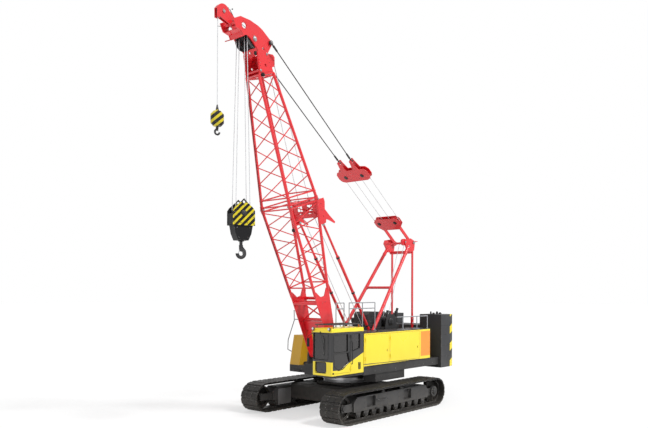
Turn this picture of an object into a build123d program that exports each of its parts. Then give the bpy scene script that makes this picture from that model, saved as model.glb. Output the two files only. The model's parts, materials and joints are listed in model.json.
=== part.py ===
"""Crawler crane with a short lattice boom, built as separate pieces.

All sizes are in millimetres. X points forward, Y to the machine's left and Z up;
the origin is where the slewing axis meets the ground. The crane stands as it
works near the top of its reach: boom raised, both hooks hanging plumb.
"""
from build123d import *
import os
from math import atan2, cos, hypot, pi, radians, sin

# ---------------------------------------------------------------- driving sizes
# crawler
TRACK_LENGTH = 5750
TRACK_HEIGHT = 980
TRACK_WIDTH = 4340
SHOE_WIDTH = 760
FLAT_SHOES = 21
BEND_SHOES = 6
SHOE_PLATE = 42
LINK_DEPTH = 68
CHAIN_WIDTH = 330
ROLLER_RADIUS = 110
ROLLER_COUNT = 10
CARRIER_RADIUS = 78
# upper works
DECK_BOTTOM = 1330
DECK_TOP = 1590
HOUSE_OUT = 1575
HOUSE_IN = 800
HOUSE_TOP = 2690
HOUSE_REAR = -2790
WALL = 45
# cab
CAB_FRONT = 2500
CAB_REAR = 1000
CAB_IN = 765
CAB_FLOOR = 1440
CAB_TOP = 2880
CAB_WALL = 60
GLASS = 8
# boom, drawn along its own length s with depth n square to it
BOOM_ANGLE = 71.8
FOOT_X = 1175
FOOT_Z = 1900
FOOT_Y = 545
PLATE_S = 2180
JOINT_S = 5090
HEAD_S = 9000
CHORD = 46
LACING = 18
MAIN_SHEAVE_S = 10000
MAIN_SHEAVE_N = -200
MAIN_SHEAVE_R = 215
AUX_SHEAVE_S = 10820
AUX_SHEAVE_N = -900
AUX_SHEAVE_R = 162
PENDANT_S = 9870
PENDANT_N = 395
JIB_HOLE_S = 10385
JIB_HOLE_N = -480
JIB_HOLE_R = 85
# gantry and boom hoist rigging
GANTRY_X = -3250
GANTRY_Z = 5880
GANTRY_Y = 478
SPREADER_Y = 270
# backstops
STOP_FOOT_X = -620
STOP_FOOT_Z = 2640
STOP_S = 4350
STOP_N = 760
STOP_Y = 500
# hooks
BLOCK_X = 4700
BLOCK_TURN = -15
ROPE = 11
AUX_HOOK_LUG = 9150
# fits
PIN_PLAY = 0.6
SEAT = 0.4
DOOR_GAP = 8


# ---------------------------------------------------------------- small helpers
def box(x0, x1, y0, y1, z0, z1):
    """Block between two corners."""
    return Pos((x0 + x1) / 2, (y0 + y1) / 2, (z0 + z1) / 2) * Box(abs(x1 - x0), abs(y1 - y0), abs(z1 - z0))


def side_plate(points, y0, y1):
    """Outline of (x, z) points, thickened across the machine from y0 to y1."""
    outline = Polyline([(x, y0, z) for x, z in points], close=True)
    return extrude(make_face(outline), amount=y1 - y0, dir=(0, 1, 0))


def cross_pin(x, z, radius, y0, y1):
    """Round bar lying across the machine."""
    return Pos(x, (y0 + y1) / 2, z) * Rot(90, 0, 0) * Cylinder(radius, abs(y1 - y0))


def rod(p, q, radius):
    """Round bar between two points."""
    line = Vector(*q) - Vector(*p)
    return Plane(origin=p, z_dir=line) * Pos(0, 0, line.length / 2) * Cylinder(radius, line.length)


def hex_rod(p, q, radius):
    """Six-sided bar between two points."""
    line = Vector(*q) - Vector(*p)
    return Plane(origin=p, z_dir=line) * extrude(RegularPolygon(radius, 6), amount=line.length)


def joined(pieces):
    """One solid from many that overlap."""
    first = pieces[0]
    return first.fuse(*pieces[1:]) if len(pieces) > 1 else first


def ring(x, z, outer, inner, y0, y1):
    """Round bush across the machine."""
    return cross_pin(x, z, outer, y0, y1) - cross_pin(x, z, inner, y0 - 1, y1 + 1)


PARTS = {}


def keep(name, shape):
    """Register a finished piece under its name."""
    shape.label = name
    PARTS[name] = shape


# ---------------------------------------------------------------- crawlers
TRACK_Y = (TRACK_WIDTH - SHOE_WIDTH) / 2
END_RADIUS = TRACK_HEIGHT / 2
END_X = TRACK_LENGTH / 2 - END_RADIUS
CHAIN_RADIUS = END_RADIUS - SHOE_PLATE
INNER_RADIUS = CHAIN_RADIUS - LINK_DEPTH
AXLE_Z = TRACK_HEIGHT / 2


def stadium(radius):
    """Long round-ended outline around the two axles, as a face in the side plane."""
    outline = SlotCenterToCenter(2 * END_X, 2 * radius)
    return Plane(origin=(0, 0, AXLE_Z), z_dir=(0, -1, 0), x_dir=(1, 0, 0)) * outline


def shoe_places():
    """Centre, heading and pitch of every shoe: flat runs first above, then below, and the two bends."""
    places = []
    flat = 2 * END_X / FLAT_SHOES
    bend = pi * CHAIN_RADIUS / BEND_SHOES
    sag = CHAIN_RADIUS + SHOE_PLATE - ((CHAIN_RADIUS + SHOE_PLATE) ** 2 - (bend / 2) ** 2) ** 0.5
    for number in range(FLAT_SHOES):
        places.append((-END_X + (number + 0.5) * flat, AXLE_Z + CHAIN_RADIUS, 0.0, flat))
    for number in range(BEND_SHOES):
        turn = (number + 0.5) * pi / BEND_SHOES
        reach = CHAIN_RADIUS - sag
        places.append((END_X + reach * sin(turn), AXLE_Z + reach * cos(turn), -turn, bend))
    for x, z, heading, pitch in list(places):
        places.append((-x, 2 * AXLE_Z - z, heading - pi, pitch))
    return places


def shoe_outline():
    """Side view of the shoes: a plate with a low bar at its trailing edge, round the loop."""
    steps = [(-0.46, -2), (-0.46, 0.62 * SHOE_PLATE), (-0.32, 0.62 * SHOE_PLATE), (-0.26, SHOE_PLATE),
             (0.34, SHOE_PLATE), (0.45, 0.7 * SHOE_PLATE), (0.46, -2)]
    points = []
    for x, z, heading, pitch in shoe_places():
        for along, rise in steps:
            step = along * pitch
            points.append((x + step * cos(heading) - rise * sin(heading),
                           z + step * sin(heading) + rise * cos(heading)))
    return points


def track(side):
    """Closed loop of shoes on its chain."""
    y = side * TRACK_Y
    half = SHOE_WIDTH / 2
    shoes = side_plate(shoe_outline(), y - half, y + half)
    hollow = extrude(stadium(CHAIN_RADIUS - 22), amount=SHOE_WIDTH + 20, dir=(0, 1, 0))
    shoes = shoes - Pos(0, y - half - 10, 0) * hollow
    chain = extrude(stadium(CHAIN_RADIUS - 14) - stadium(INNER_RADIUS), amount=CHAIN_WIDTH, dir=(0, 1, 0))
    return shoes + Pos(0, y - CHAIN_WIDTH / 2, 0) * chain


keep("track_left", track(1))
keep("track_right", track(-1))

FRAME_HALF = 230
FRAME_LOW = AXLE_Z - 155
FRAME_HIGH = AXLE_Z + 290
BEAM_END = END_X - INNER_RADIUS - 20
ROLLER_Z = AXLE_Z - INNER_RADIUS + ROLLER_RADIUS + SEAT
CARRIER_Z = AXLE_Z + INNER_RADIUS - CARRIER_RADIUS - SEAT
ROLLER_PITCH = 2 * (BEAM_END - 250) / (ROLLER_COUNT - 1)
CARRIER_X = (-0.25 * BEAM_END, 0.25 * BEAM_END)
BRACKET_IN = CHAIN_WIDTH / 2 + 5
# window centres along the beam and half their length
WINDOW_HALF = 215
WINDOW_LAP = 35.175
WINDOWS = ((CARRIER_X[0] - CARRIER_RADIUS - 30 + WINDOW_LAP - WINDOW_HALF, WINDOW_HALF), (0.58 * BEAM_END, 220))


FORK_IN = 132


def roller_places():
    """Positions of the lower rollers along the track."""
    start = -ROLLER_PITCH * (ROLLER_COUNT - 1) / 2
    return [start + ROLLER_PITCH * number for number in range(ROLLER_COUNT)]


def side_frame(side):
    """Crawler side frame: box beam with windows, roller brackets, a drive housing and forked ends."""
    y = side * TRACK_Y
    beam = side_plate([(-BEAM_END, FRAME_LOW), (BEAM_END, FRAME_LOW), (BEAM_END, FRAME_HIGH - 160),
                       (BEAM_END - 180, FRAME_HIGH), (180 - BEAM_END, FRAME_HIGH), (-BEAM_END, FRAME_HIGH - 160)],
                      y - FRAME_HALF, y + FRAME_HALF)
    outer = y + side * FRAME_HALF
    for x, half in WINDOWS:
        window = box(x - half, x + half, outer - 110, outer + 110, FRAME_LOW + 80, FRAME_HIGH - 35)
        beam = beam - fillet(window.edges().filter_by(Axis.Y), 40)
    for x in CARRIER_X:
        beam = beam - box(x - CARRIER_RADIUS - 30, x + CARRIER_RADIUS + 30, y - BRACKET_IN, y + BRACKET_IN,
                          CARRIER_Z - CARRIER_RADIUS - 30, FRAME_HIGH + 1)
    pieces = [beam]
    for edge in (-1, 1):
        y0 = y + edge * BRACKET_IN
        y1 = y + edge * (BRACKET_IN + 28)
        for x in roller_places():
            pieces.append(side_plate([(x - 130, FRAME_LOW + 5), (x - 62, ROLLER_Z - 62), (x + 62, ROLLER_Z - 62),
                                      (x + 130, FRAME_LOW + 5)], min(y0, y1), max(y0, y1)))
        for x in CARRIER_X:
            pieces.append(side_plate([(x - 110, FRAME_HIGH - 5), (x - 45, CARRIER_Z + 45), (x + 45, CARRIER_Z + 45),
                                      (x + 110, FRAME_HIGH - 5)], min(y0, y1), max(y0, y1)))
        y2 = y + edge * FORK_IN
        y3 = y + edge * (FORK_IN + 40)
        for end in (-1, 1):
            root = end * (BEAM_END - 85)
            pieces.append(side_plate([(root, FRAME_LOW + 10), (end * (END_X + 95), AXLE_Z - 110),
                                      (end * (END_X + 115), AXLE_Z + 90), (root, FRAME_HIGH - 170)],
                                     min(y2, y3), max(y2, y3)))
    pieces.append(cross_pin(-END_X, AXLE_Z, 175, side * (TRACK_Y + FORK_IN + 20), side * (TRACK_Y + FRAME_HALF + 15)))
    return joined(pieces)


keep("side_frame_left", side_frame(1))
keep("side_frame_right", side_frame(-1))


def axle_stub(x, z, radius, y):
    """Six-sided axle through a roller, as long as the space between its brackets."""
    return hex_rod((x, y - BRACKET_IN, z), (x, y + BRACKET_IN, z), radius)


def rollers():
    """Lower and carrier rollers of both crawlers, each on its axle."""
    solids = []
    for side in (-1, 1):
        y = side * TRACK_Y
        width = CHAIN_WIDTH / 2
        for x in roller_places():
            solids.append(cross_pin(x, ROLLER_Z, ROLLER_RADIUS, y - width, y + width) + axle_stub(x, ROLLER_Z, 40, y))
        for x in CARRIER_X:
            solids.append(cross_pin(x, CARRIER_Z, CARRIER_RADIUS, y - width, y + width)
                          + axle_stub(x, CARRIER_Z, 30, y))
    return Compound(children=solids)


keep("track_rollers", rollers())


def idlers():
    """Front idler wheel of each crawler with its rim, web and hub."""
    solids = []
    for side in (-1, 1):
        y = side * TRACK_Y
        wheel = cross_pin(END_X, AXLE_Z, INNER_RADIUS - SEAT, y - 95, y + 95)
        wheel = wheel - ring(END_X, AXLE_Z, 300, 120, y + 30, y + 200) - ring(END_X, AXLE_Z, 300, 120, y - 200, y - 30)
        solids.append(wheel + cross_pin(END_X, AXLE_Z, 110, y - FORK_IN, y + FORK_IN))
    return Compound(children=solids)


keep("idlers", idlers())


def sprockets():
    """Rear drive sprocket of each crawler with teeth and the travel drive drum inside the frame."""
    solids = []
    teeth = 15
    for side in (-1, 1):
        y = side * TRACK_Y
        points = []
        for tooth in range(teeth):
            for share, radius in ((0.0, 318), (0.28, INNER_RADIUS - 2), (0.5, INNER_RADIUS - 2), (0.78, 318)):
                turn = 2 * pi * (tooth + share) / teeth
                points.append((-END_X + radius * cos(turn), AXLE_Z + radius * sin(turn)))
        wheel = side_plate(points, y - 75, y + 75)
        wheel = wheel + cross_pin(-END_X, AXLE_Z, 150, y - FORK_IN, y + FORK_IN)
        solids.append(wheel)
    return Compound(children=solids)


keep("sprockets", sprockets())


# ---------------------------------------------------------------- carbody
CARBODY_X = 1150
CARBODY_LOW = 300
CARBODY_TOP = 930
RING_TOP = 1130
RING_RADIUS = 760


def carbody():
    """Central body: two deep cross beams, a middle box and the round turret for the slewing ring."""
    reach = TRACK_Y - FRAME_HALF
    pieces = [box(-700, 700, -760, 760, CARBODY_LOW + 60, CARBODY_TOP)]
    for end in (-1, 1):
        beam = [(end * 620, CARBODY_LOW + 40), (end * CARBODY_X, CARBODY_LOW + 40), (end * CARBODY_X, CARBODY_TOP - 130),
                (end * (CARBODY_X - 70), CARBODY_TOP - 60), (end * 620, CARBODY_TOP - 60)]
        pieces.append(side_plate(beam, -reach, reach))
    pieces.append(Pos(0, 0, CARBODY_TOP) * Cylinder(RING_RADIUS + 60, 60))
    return joined(pieces)


keep("carbody", carbody())
keep("slew_ring", Pos(0, 0, (CARBODY_TOP + 30 + RING_TOP) / 2) * (Cylinder(RING_RADIUS, RING_TOP - CARBODY_TOP - 30)
     - Cylinder(RING_RADIUS - 110, RING_TOP - CARBODY_TOP)))

# ---------------------------------------------------------------- turntable deck
DECK_FRONT = 1330
DECK_REAR = -3380
DECK_OUT = HOUSE_OUT - 15
DECK_NOSE = 980
BASE_TOP = DECK_TOP - 100
UNDER_BOX = TRACK_HEIGHT + 70
BASE_FRONT = 1200
HOOD_LOW = 2600
HOOD_HIGH = 3300
HOOD_FRONT = -600
HOOD_RIGHT = -200
HOOD_LEFT = 430
WINCH_IN = 560
WINCH_OUT = 600
LEG_FOOT_X = -30
LEG_FOOT_Z = 1900
LEG_FOOT_Y = 728
TIE_FOOT_Z = 1780


def deck():
    """Revolving frame: side beams, centre box, boom foot lugs, gantry and backstop brackets, winch plates."""
    pieces = [box(DECK_REAR, DECK_NOSE, -DECK_OUT, DECK_OUT, DECK_BOTTOM + 130, DECK_TOP)]
    for side in (-1, 1):
        pieces.append(box(DECK_REAR, DECK_NOSE, side * (DECK_OUT - 60), side * DECK_OUT, DECK_BOTTOM, DECK_TOP))
        pieces.append(box(-1300, 300, side * (DECK_OUT - 560), side * (DECK_OUT - 50), UNDER_BOX, DECK_BOTTOM + 140))
    pieces.append(box(-1900, DECK_FRONT, -CAB_IN + 25, CAB_IN - 25, RING_TOP + 90, DECK_TOP))
    pieces.append(box(900, 2300, CAB_IN + 25, DECK_OUT - 20, CAB_FLOOR - 80, CAB_FLOOR))
    pieces.append(Pos(0, 0, (RING_TOP + DECK_BOTTOM) / 2) * Cylinder(RING_RADIUS + 40, DECK_BOTTOM - RING_TOP))
    pieces.append(box(DECK_NOSE - 80, BASE_FRONT, -HOUSE_OUT, -700, DECK_BOTTOM - 80, BASE_TOP))
    pieces.append(box(BASE_FRONT - 5, BASE_FRONT + 110, 250 - HOUSE_OUT, 550 - HOUSE_OUT,
                      DECK_BOTTOM - 40, DECK_BOTTOM - 15))
    pieces.append(box(-700, HOOD_FRONT, -200, 200, DECK_TOP - 20, HOOD_LOW + 20))
    hood = side_plate([(-1380, HOOD_LOW + 40), (-1380, HOOD_HIGH - 60), (-1320, HOOD_HIGH),
                       (HOOD_FRONT - 90, HOOD_HIGH), (HOOD_FRONT, HOOD_HIGH - 90), (HOOD_FRONT, HOOD_LOW),
                       (-1300, HOOD_LOW)], HOOD_RIGHT, HOOD_LEFT)
    for step in range(4):
        rib = HOOD_LOW + 130 + step * 120
        for y0, y1 in ((HOOD_RIGHT - 1, HOOD_RIGHT + 15), (HOOD_LEFT - 15, HOOD_LEFT + 1)):
            hood = hood - box(-1290, HOOD_FRONT - 130, y0, y1, rib, rib + 60)
    pieces.append(hood)
    pieces.append(rod((-2190, 480, DECK_TOP - 20), (-2190, 480, 3300), 62))
    pieces.append(rod((-2190, 480, 3250), (-2270, 480, 3400), 48))
    for side in (-1, 1):
        y0 = side * (FOOT_Y + 12)
        y1 = side * (FOOT_Y + 72)
        lug = side_plate([(FOOT_X - 520, DECK_TOP - 20), (FOOT_X - 130, FOOT_Z + 90), (FOOT_X - 60, FOOT_Z + 150),
                          (FOOT_X + 60, FOOT_Z + 150), (FOOT_X + 130, FOOT_Z + 60), (FOOT_X + 160, DECK_TOP - 20)],
                         min(y0, y1), max(y0, y1))
        pieces.append(lug)
        inner = side * WINCH_IN
        outer = side * WINCH_OUT
        winch = side_plate([(-2150, DECK_TOP - 20), (-2050, 3050), (-1900, 3200), (-1500, 3200), (-1350, 2600),
                            (-900, 2500), (250, 2500), (400, DECK_TOP - 20)], min(inner, outer), max(inner, outer))
        pieces.append(winch)
        post = side_plate([(STOP_FOOT_X - 160, 2480), (STOP_FOOT_X - 70, STOP_FOOT_Z + 70),
                           (STOP_FOOT_X + 70, STOP_FOOT_Z + 70),
                           (STOP_FOOT_X + 160, 2480)], min(inner, outer), max(inner, outer))
        pieces.append(post)
        pieces.append(box(-3290, -3130, side * (GANTRY_Y - 45), side * (GANTRY_Y + 45), DECK_TOP - 20, TIE_FOOT_Z))
        pieces.append(box(LEG_FOOT_X - 130, LEG_FOOT_X + 130, side * 660, side * 795, DECK_TOP - 20, LEG_FOOT_Z - 60))
    return joined(pieces)


FOOT_PIN_R = 55
turntable = deck()
SHAFT_R = 60
STOP_PIN_R = 30
DRUMS = {"main_drum": (-150, 2150, 230, 360), "aux_drum": (-1100, 2150, 230, 360), "boom_drum": (-1700, 2930, 170, 260)}
holes = [(FOOT_X, FOOT_Z, FOOT_PIN_R), (STOP_FOOT_X, STOP_FOOT_Z, STOP_PIN_R)]
for drum_x, drum_z, _, _ in DRUMS.values():
    holes.append((drum_x, drum_z, SHAFT_R))
for pin_x, pin_z, pin_r in holes:
    turntable = turntable - cross_pin(pin_x, pin_z, pin_r + PIN_PLAY, -900, 900)
keep("turntable_deck", turntable)


# ---------------------------------------------------------------- machinery houses
def shell(x0, x1, y0, y1, z0, z1):
    """Sheet metal box, open below."""
    return box(x0, x1, y0, y1, z0, z1) - box(x0 + WALL, x1 - WALL, y0 + WALL, y1 - WALL, z0 - 1, z1 - WALL)


HINGE_OUT = 16
HINGE_R = 14
HINGE_PIN_R = 8


def hinge_leaf(x, away, heights, side, fixed):
    """Hinge halves at an edge: barrels with straps on the door, pins with straps on the frame."""
    y = side * (HOUSE_OUT + HINGE_OUT)
    face = side * HOUSE_OUT
    pieces = []
    for z in heights:
        if fixed:
            spans = ((z - 62, z - 31), (z + 31, z + 62))
            pieces.append(Pos(x, y, z) * Cylinder(HINGE_PIN_R, 124))
        else:
            spans = ((z - 30, z + 30),)
        for z0, z1 in spans:
            barrel = Pos(x, y, (z0 + z1) / 2) * Cylinder(HINGE_R, z1 - z0)
            strap = box(x, x + away * 62, face - side * 1, face + side * 9, z0, z1)
            bridge = box(x, x + away * 20, face, y, z0, z1)
            piece = barrel + strap + bridge
            if not fixed:
                piece = piece - Pos(x, y, z) * Cylinder(HINGE_PIN_R + PIN_PLAY, 80)
            pieces.append(piece)
    return pieces


DOOR_LOW = DECK_TOP + 70
DOOR_HIGH = HOUSE_TOP - 60
HOUSE_HINGES = (1850, 2450)
DOORS = {
    "left_door_front": (-350, 900, 1),
    "left_door_rear": (-2120, -410, 1),
    "right_door": (-2120, -410, -1),
}


FRONT_BOX_IN = HOUSE_OUT - 455
FRONT_BOX_TOP = 2500
FRONT_BOX_LEAN = 200


def house(side):
    """Machinery house with its door openings; the right one has a box with a leaning front before it."""
    front = DECK_NOSE - 10 if side > 0 else 200
    body = shell(HOUSE_REAR, front, HOUSE_IN, HOUSE_OUT, DECK_TOP, HOUSE_TOP)
    if side < 0:
        back = front - WALL
        tip = BASE_FRONT - FRONT_BOX_LEAN
        body = body + side_plate([(back, DECK_TOP), (DECK_NOSE, DECK_TOP), (DECK_NOSE, BASE_TOP),
                                  (BASE_FRONT, BASE_TOP), (tip, FRONT_BOX_TOP), (back, FRONT_BOX_TOP)],
                                 FRONT_BOX_IN, HOUSE_OUT)
        body = body - side_plate([(back - 1, DECK_TOP - 1), (BASE_FRONT - WALL - 30, DECK_TOP - 1),
                                  (tip - WALL, FRONT_BOX_TOP - WALL), (back - 1, FRONT_BOX_TOP - WALL)],
                                 FRONT_BOX_IN + WALL, HOUSE_OUT - WALL)
    for x0, x1, door_side in DOORS.values():
        if door_side == side:
            body = body - box(x0, x1, HOUSE_OUT - WALL - 1, HOUSE_OUT + 1, DOOR_LOW, DOOR_HIGH)
            body = joined([body] + hinge_leaf(x1, 1, HOUSE_HINGES, 1, True))
    return body if side > 0 else mirror(body, about=Plane.XZ)


keep("house_left", house(1))
keep("house_right", house(-1))
for door_name, (x0, x1, side) in DOORS.items():
    panel = box(x0 + DOOR_GAP, x1 - DOOR_GAP, side * (HOUSE_OUT - WALL), side * HOUSE_OUT,
                DOOR_LOW + DOOR_GAP, DOOR_HIGH - DOOR_GAP)
    latch = box(x0 + 55, x0 + 125, side * (HOUSE_OUT - 5), side * (HOUSE_OUT + 18), 2040, 2090)
    keep(door_name, joined([panel, latch] + hinge_leaf(x1, -1, HOUSE_HINGES, side, False)))

keep("engine_block", box(-2450, -950, 155 - HOUSE_OUT, -HOUSE_IN - 100, DECK_TOP, HOUSE_TOP - 310))

# ---------------------------------------------------------------- counterweight
CW_FRONT = DECK_REAR
CW_REAR = -4290
CW_OUT = 1673
CW_LOW = 1210
CW_HIGH = 3170
CW_CORNER = (90, 290)
NOTCH_HALF = 710
NOTCH_LOW = 2760
LUG_X = (CW_FRONT + CW_REAR) / 2


def counterweight():
    """Cast block with bevelled rear corners, cut away in the middle above, with two lifting lugs."""
    block = box(CW_REAR, CW_FRONT, -CW_OUT, CW_OUT, CW_LOW, CW_HIGH)
    across, along = CW_CORNER
    for side in (-1, 1):
        wedge = [(CW_REAR - 1, side * (CW_OUT - across)), (CW_REAR + along, side * CW_OUT),
                 (CW_REAR + along, side * (CW_OUT + 1)), (CW_REAR - 1, side * (CW_OUT + 1))]
        corner_cut = make_face(Polyline([(x, y, CW_LOW - 1) for x, y in wedge], close=True))
        block = block - extrude(corner_cut, amount=CW_HIGH - CW_LOW + 2, dir=(0, 0, 1))
    block = block - box(CW_REAR - 1, CW_FRONT + 1, -NOTCH_HALF, NOTCH_HALF, NOTCH_LOW, CW_HIGH + 1)
    for side in (-1, 1):
        y = side * (NOTCH_HALF + CW_OUT) / 2
        lug = side_plate([(LUG_X - 70, CW_HIGH - 20), (LUG_X - 30, CW_HIGH + 100), (LUG_X + 30, CW_HIGH + 100),
                          (LUG_X + 70, CW_HIGH - 20)], y - 20, y + 20)
        block = block + (lug - cross_pin(LUG_X, CW_HIGH + 55, 24, y - 30, y + 30))
    return block


keep("counterweight", counterweight())

# ---------------------------------------------------------------- cab
DOOR_X0 = 1625
DOOR_X1 = CAB_FRONT - 45
DOOR_Z0 = CAB_FLOOR + 60
DOOR_Z1 = CAB_TOP - 120
CAB_HINGES = (DOOR_Z0 + 120, DOOR_Z1 - 160)
CAB_CORNER = 40
WINDOW_TOP = CAB_TOP - 190
SILL = CAB_FLOOR + 690
PANE_FRONT = DOOR_X1 - 38
REAR_WINDOW = [(CAB_REAR + 180, WINDOW_TOP), (DOOR_X0 - 55, WINDOW_TOP), (DOOR_X0 - 55, SILL), (CAB_REAR + 180, SILL + 90)]
RIGHT_WINDOW = [(CAB_REAR + 140, WINDOW_TOP + 30), (CAB_FRONT - 120, WINDOW_TOP + 30), (CAB_FRONT - 120, SILL - 230),
                (CAB_REAR + 140, SILL - 230)]
UPPER_PANE = [(DOOR_X0 + 135, WINDOW_TOP), (PANE_FRONT, WINDOW_TOP), (PANE_FRONT, SILL + 15), (DOOR_X0 + 132, SILL + 15)]
LOWER_PANE = [(DOOR_X0 + 130, SILL - 15), (PANE_FRONT, SILL - 15), (PANE_FRONT, SILL - 130), (PANE_FRONT - 35, SILL - 400),
              (PANE_FRONT - 200, CAB_FLOOR + 140), (PANE_FRONT - 430, CAB_FLOOR + 180), (DOOR_X0 + 45, SILL - 300)]
WINDSCREEN = (CAB_IN + 35, HOUSE_OUT - 150, CAB_FLOOR + 480, CAB_TOP - 150)
TOE_WINDOW = (CAB_IN + 115, HOUSE_OUT - 235, CAB_FLOOR + 75, CAB_FLOOR + 410)
BACK_WINDOW = (CAB_IN + 115, HOUSE_OUT - 115, SILL, WINDOW_TOP + 30)
GUARD_Z = CAB_TOP + 110
GUARD_R = 14


def cab_hull():
    """Outer form of the cab with rounded front corners and roof edges."""
    hull = box(CAB_REAR, CAB_FRONT, CAB_IN, HOUSE_OUT, CAB_FLOOR, CAB_TOP)
    hull = fillet(hull.edges().filter_by(Axis.Z).group_by(Axis.X)[-1], CAB_CORNER)
    return fillet(hull.edges().filter_by(Axis.X).group_by(Axis.Z)[-1], CAB_CORNER)


def toe_pane(depth0, depth1):
    """Low front window with rounded lower corners, between two depths."""
    y0, y1, z0, z1 = TOE_WINDOW
    pane = box(depth0, depth1, y0, y1, z0, z1)
    return fillet(pane.edges().filter_by(Axis.X).group_by(Axis.Z)[0], 90)


def roof_guard():
    """Bar frame over the cab roof on short posts."""
    x0, x1 = CAB_REAR + 60, CAB_FRONT - 60
    y0, y1 = CAB_IN + 60, HOUSE_OUT - 60
    bars = []
    for y in (y0, y1):
        bars.append(box(x0, x1, y - GUARD_R, y + GUARD_R, GUARD_Z - GUARD_R, GUARD_Z + GUARD_R))
        for x in (x0 + 80, x1 - 80):
            bars.append(box(x - 10, x + 10, y - 10, y + 10, CAB_TOP - 20, GUARD_Z))
    for number in range(8):
        x = x0 + 20 + (x1 - x0 - 40) * number / 7
        bars.append(rod((x, y0, GUARD_Z), (x, y1, GUARD_Z), GUARD_R - 3))
    return bars


def cab_shell():
    """Hollow cab with window and door openings and a bar guard over its roof."""
    inside = box(CAB_REAR + CAB_WALL, CAB_FRONT - CAB_WALL, CAB_IN + CAB_WALL, HOUSE_OUT - CAB_WALL,
                 CAB_FLOOR + CAB_WALL, CAB_TOP - CAB_WALL)
    cab = cab_hull() - inside
    cab = cab - box(DOOR_X0, DOOR_X1, HOUSE_OUT - CAB_WALL - 1, HOUSE_OUT + 1, DOOR_Z0, DOOR_Z1)
    cab = cab - side_plate(REAR_WINDOW, HOUSE_OUT - CAB_WALL - 1, HOUSE_OUT + 1)
    cab = cab - side_plate(RIGHT_WINDOW, CAB_IN - 1, CAB_IN + CAB_WALL + 1)
    y0, y1, z0, z1 = WINDSCREEN
    cab = cab - box(CAB_FRONT - CAB_WALL - 1, CAB_FRONT + 1, y0, y1, z0, z1)
    cab = cab - toe_pane(CAB_FRONT - CAB_WALL - 1, CAB_FRONT + 1)
    y0, y1, z0, z1 = BACK_WINDOW
    cab = cab - box(CAB_REAR - 1, CAB_REAR + CAB_WALL + 1, y0, y1, z0, z1)
    return joined([cab] + roof_guard() + hinge_leaf(DOOR_X0, -1, CAB_HINGES, 1, True))


keep("cab_shell", cab_shell())


def cab_glass():
    """Fixed panes, set in the middle of the wall and filling their openings."""
    mid = CAB_WALL / 2
    front = CAB_FRONT - mid
    y0, y1, z0, z1 = WINDSCREEN
    panes = [
        side_plate(REAR_WINDOW, HOUSE_OUT - mid - GLASS, HOUSE_OUT - mid),
        side_plate(RIGHT_WINDOW, CAB_IN + mid, CAB_IN + mid + GLASS),
        box(front - GLASS, front, y0, y1, z0, z1),
        toe_pane(front - GLASS, front),
    ]
    y0, y1, z0, z1 = BACK_WINDOW
    panes.append(box(CAB_REAR + mid, CAB_REAR + mid + GLASS, y0, y1, z0, z1))
    return Compound(children=panes)


keep("cab_glass", cab_glass())

door_leaf = box(DOOR_X0 + DOOR_GAP, DOOR_X1 - DOOR_GAP, HOUSE_OUT - CAB_WALL, HOUSE_OUT,
                DOOR_Z0 + DOOR_GAP, DOOR_Z1 - DOOR_GAP)
door_panes = []
for pane_outline in (UPPER_PANE, LOWER_PANE):
    door_leaf = door_leaf - side_plate(pane_outline, HOUSE_OUT - CAB_WALL - 1, HOUSE_OUT + 1)
    door_panes.append(side_plate(pane_outline, HOUSE_OUT - CAB_WALL / 2 - GLASS, HOUSE_OUT - CAB_WALL / 2))
keep("cab_door", joined([door_leaf] + hinge_leaf(DOOR_X0, 1, CAB_HINGES, 1, False)))
keep("cab_door_glass", Compound(children=door_panes))

SEAT_Y = (CAB_IN + HOUSE_OUT) / 2
SEAT_X = CAB_REAR + 300
# seat outline measured from its rear foot on the cab floor
SEAT_OUTLINE = [(0, 0), (400, 0), (340, 260), (460, 300), (480, 400), (120, 390), (0, 1020), (-100, 1020), (-10, 280)]
seat_floor = CAB_FLOOR + CAB_WALL
keep("operator_seat", side_plate([(SEAT_X + x, seat_floor + z) for x, z in SEAT_OUTLINE], SEAT_Y - 240, SEAT_Y + 240))
keep("cab_console", box(CAB_FRONT - 320, CAB_FRONT - 120, SEAT_Y - 220, SEAT_Y + 220, seat_floor, CAB_FLOOR + 640))


# ---------------------------------------------------------------- gantry
LEG_TOP = (GANTRY_X + 300, GANTRY_Z - 160)
TIE_X = GANTRY_X + 40
LINK_PIN_R = 36
LINK_Y = 370
LINK_HALF = 18


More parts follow.
